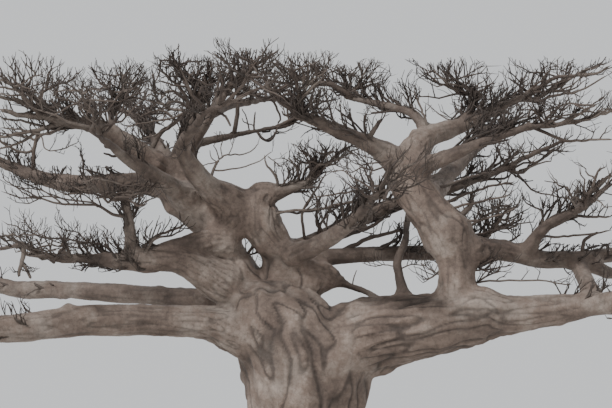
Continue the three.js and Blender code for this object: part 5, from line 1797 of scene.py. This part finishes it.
def bark_material(name, tones, crack_scale):
    """Bark in three tones, with painted shade in its folds, cracked and dull."""
    material = bpy.data.materials.new(name)
    material.use_nodes = True
    tree = material.node_tree
    shader = tree.nodes["Principled BSDF"]
    place = new_node(tree, "TexCoord").outputs["Object"]
    blotches = noise_node(tree, place, **BLOTCHES)
    ramp = new_node(tree, "ValToRGB", (), {"Fac": blotches.outputs["Fac"]})
    stops = ramp.color_ramp.elements
    stops[0].position, stops[1].position = TONE_PLACES[0], TONE_PLACES[2]
    stops.new(TONE_PLACES[1])
    for stop, tone in zip(stops, tones):
        stop.color = (*tone, 1)
    colour = ramp.outputs["Color"]
    # Painted shade in the folds and creases from the stored relief, and the darker tone of thin limbs from
    # their girth
    for attribute, (low_in, high_in, darkest) in STORED_SHADES.items():
        stored = new_node(tree, "Attribute", attribute_name=attribute)
        colour = darkened(tree, colour, ranged(tree, stored.outputs["Fac"], low_in, high_in, darkest, 1.0))
    bent = noise_node(tree, place, crack_scale * BEND_SCALE, **BEND_NOISE)
    push = new_node(tree, "VectorMath", {1: (BEND, BEND, BEND)}, {0: bent.outputs["Color"], 2: place},
                    operation="MULTIPLY_ADD")
    cracks = new_node(tree, "TexVoronoi", {"Scale": crack_scale}, {"Vector": push.outputs["Vector"]},
                      feature="DISTANCE_TO_EDGE")
    crack = ranged(tree, cracks.outputs["Distance"], 0.0, CRACK_WIDTH, CRACK_DARKEST, 1.0)
    tree.links.new(darkened(tree, colour, crack), shader.inputs["Base Color"])
    fine = noise_node(tree, place, crack_scale * FINE_SCALE, **FINE_NOISE).outputs["Fac"]
    tree.links.new(ranged(tree, fine, 0.0, 1.0, *ROUGHNESSES), shader.inputs["Roughness"])
    height = new_node(tree, "Math", {1: FINE_HEIGHT}, {0: fine, 2: crack}, operation="MULTIPLY_ADD")
    bump = new_node(tree, "Bump", BUMP, {"Height": height.outputs["Value"]})
    tree.links.new(bump.outputs["Normal"], shader.inputs["Normal"])
    return material


bark = bark_material("bark", BARK_TONES, BARK_CRACKS)
twig_bark = bark_material("twig_bark", TWIG_TONES, TWIG_CRACKS)
for piece in pieces:
    piece.data.materials.append(twig_bark if piece.name.startswith("twigs") else bark)
    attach(piece, "root")
print("nodes in the bark:", len(bark.node_tree.nodes))

# %% [markdown]
# ## Floor and background
# A pale floor and a pale, even background show a dark tree's outline best. The
# floor is one very wide square, and no part of the tree.

# %% Make the stage
FLOOR_HALF = 4000.0
FLOOR_COLOUR, FLOOR_ROUGHNESS = (0.78, 0.77, 0.75, 1), 0.9
BACKGROUND_COLOUR, BACKGROUND_STRENGTH = (0.86, 0.88, 0.9, 1), 0.9

floor = make_mesh("floor", np.array([[-1, -1, 0], [1, -1, 0], [1, 1, 0], [-1, 1, 0]]) * FLOOR_HALF,
                  np.array([[0, 1, 2, 3]]))
pale = bpy.data.materials.new("pale_floor")
pale.use_nodes = True
pale.node_tree.nodes["Principled BSDF"].inputs["Base Color"].default_value = FLOOR_COLOUR
pale.node_tree.nodes["Principled BSDF"].inputs["Roughness"].default_value = FLOOR_ROUGHNESS
floor.data.materials.append(pale)

world = bpy.data.worlds.new("background")
world.use_nodes = True
world.node_tree.nodes["Background"].inputs["Color"].default_value = BACKGROUND_COLOUR
world.node_tree.nodes["Background"].inputs["Strength"].default_value = BACKGROUND_STRENGTH
bpy.context.scene.world = world
print("floor:", 2 * FLOOR_HALF, "m wide")

# %% [markdown]
# ## Lamps
# One broad lamp high on the left gives the trunk its roundness, and a weaker one
# behind on the right keeps the far side from going flat. A lamp for something as
# large as a tree is far away, so both shine in one direction everywhere.

# %% Place the lamps
LAMPS = {  # strength, softness, azimuth and height in degrees
    "key": (3.2, 10, -42, 44),
    "fill": (0.7, 40, 140, 30),
}
for name, (strength, softness, azimuth, height) in LAMPS.items():
    lamp = bpy.data.lights.new(name, "SUN")
    lamp.energy = strength
    lamp.angle = math.radians(softness)
    holder = bpy.data.objects.new(name, lamp)
    holder.rotation_euler = (math.radians(90 - height), 0, math.radians(azimuth))
    bpy.context.scene.collection.objects.link(holder)
print("lamps:", len(LAMPS))
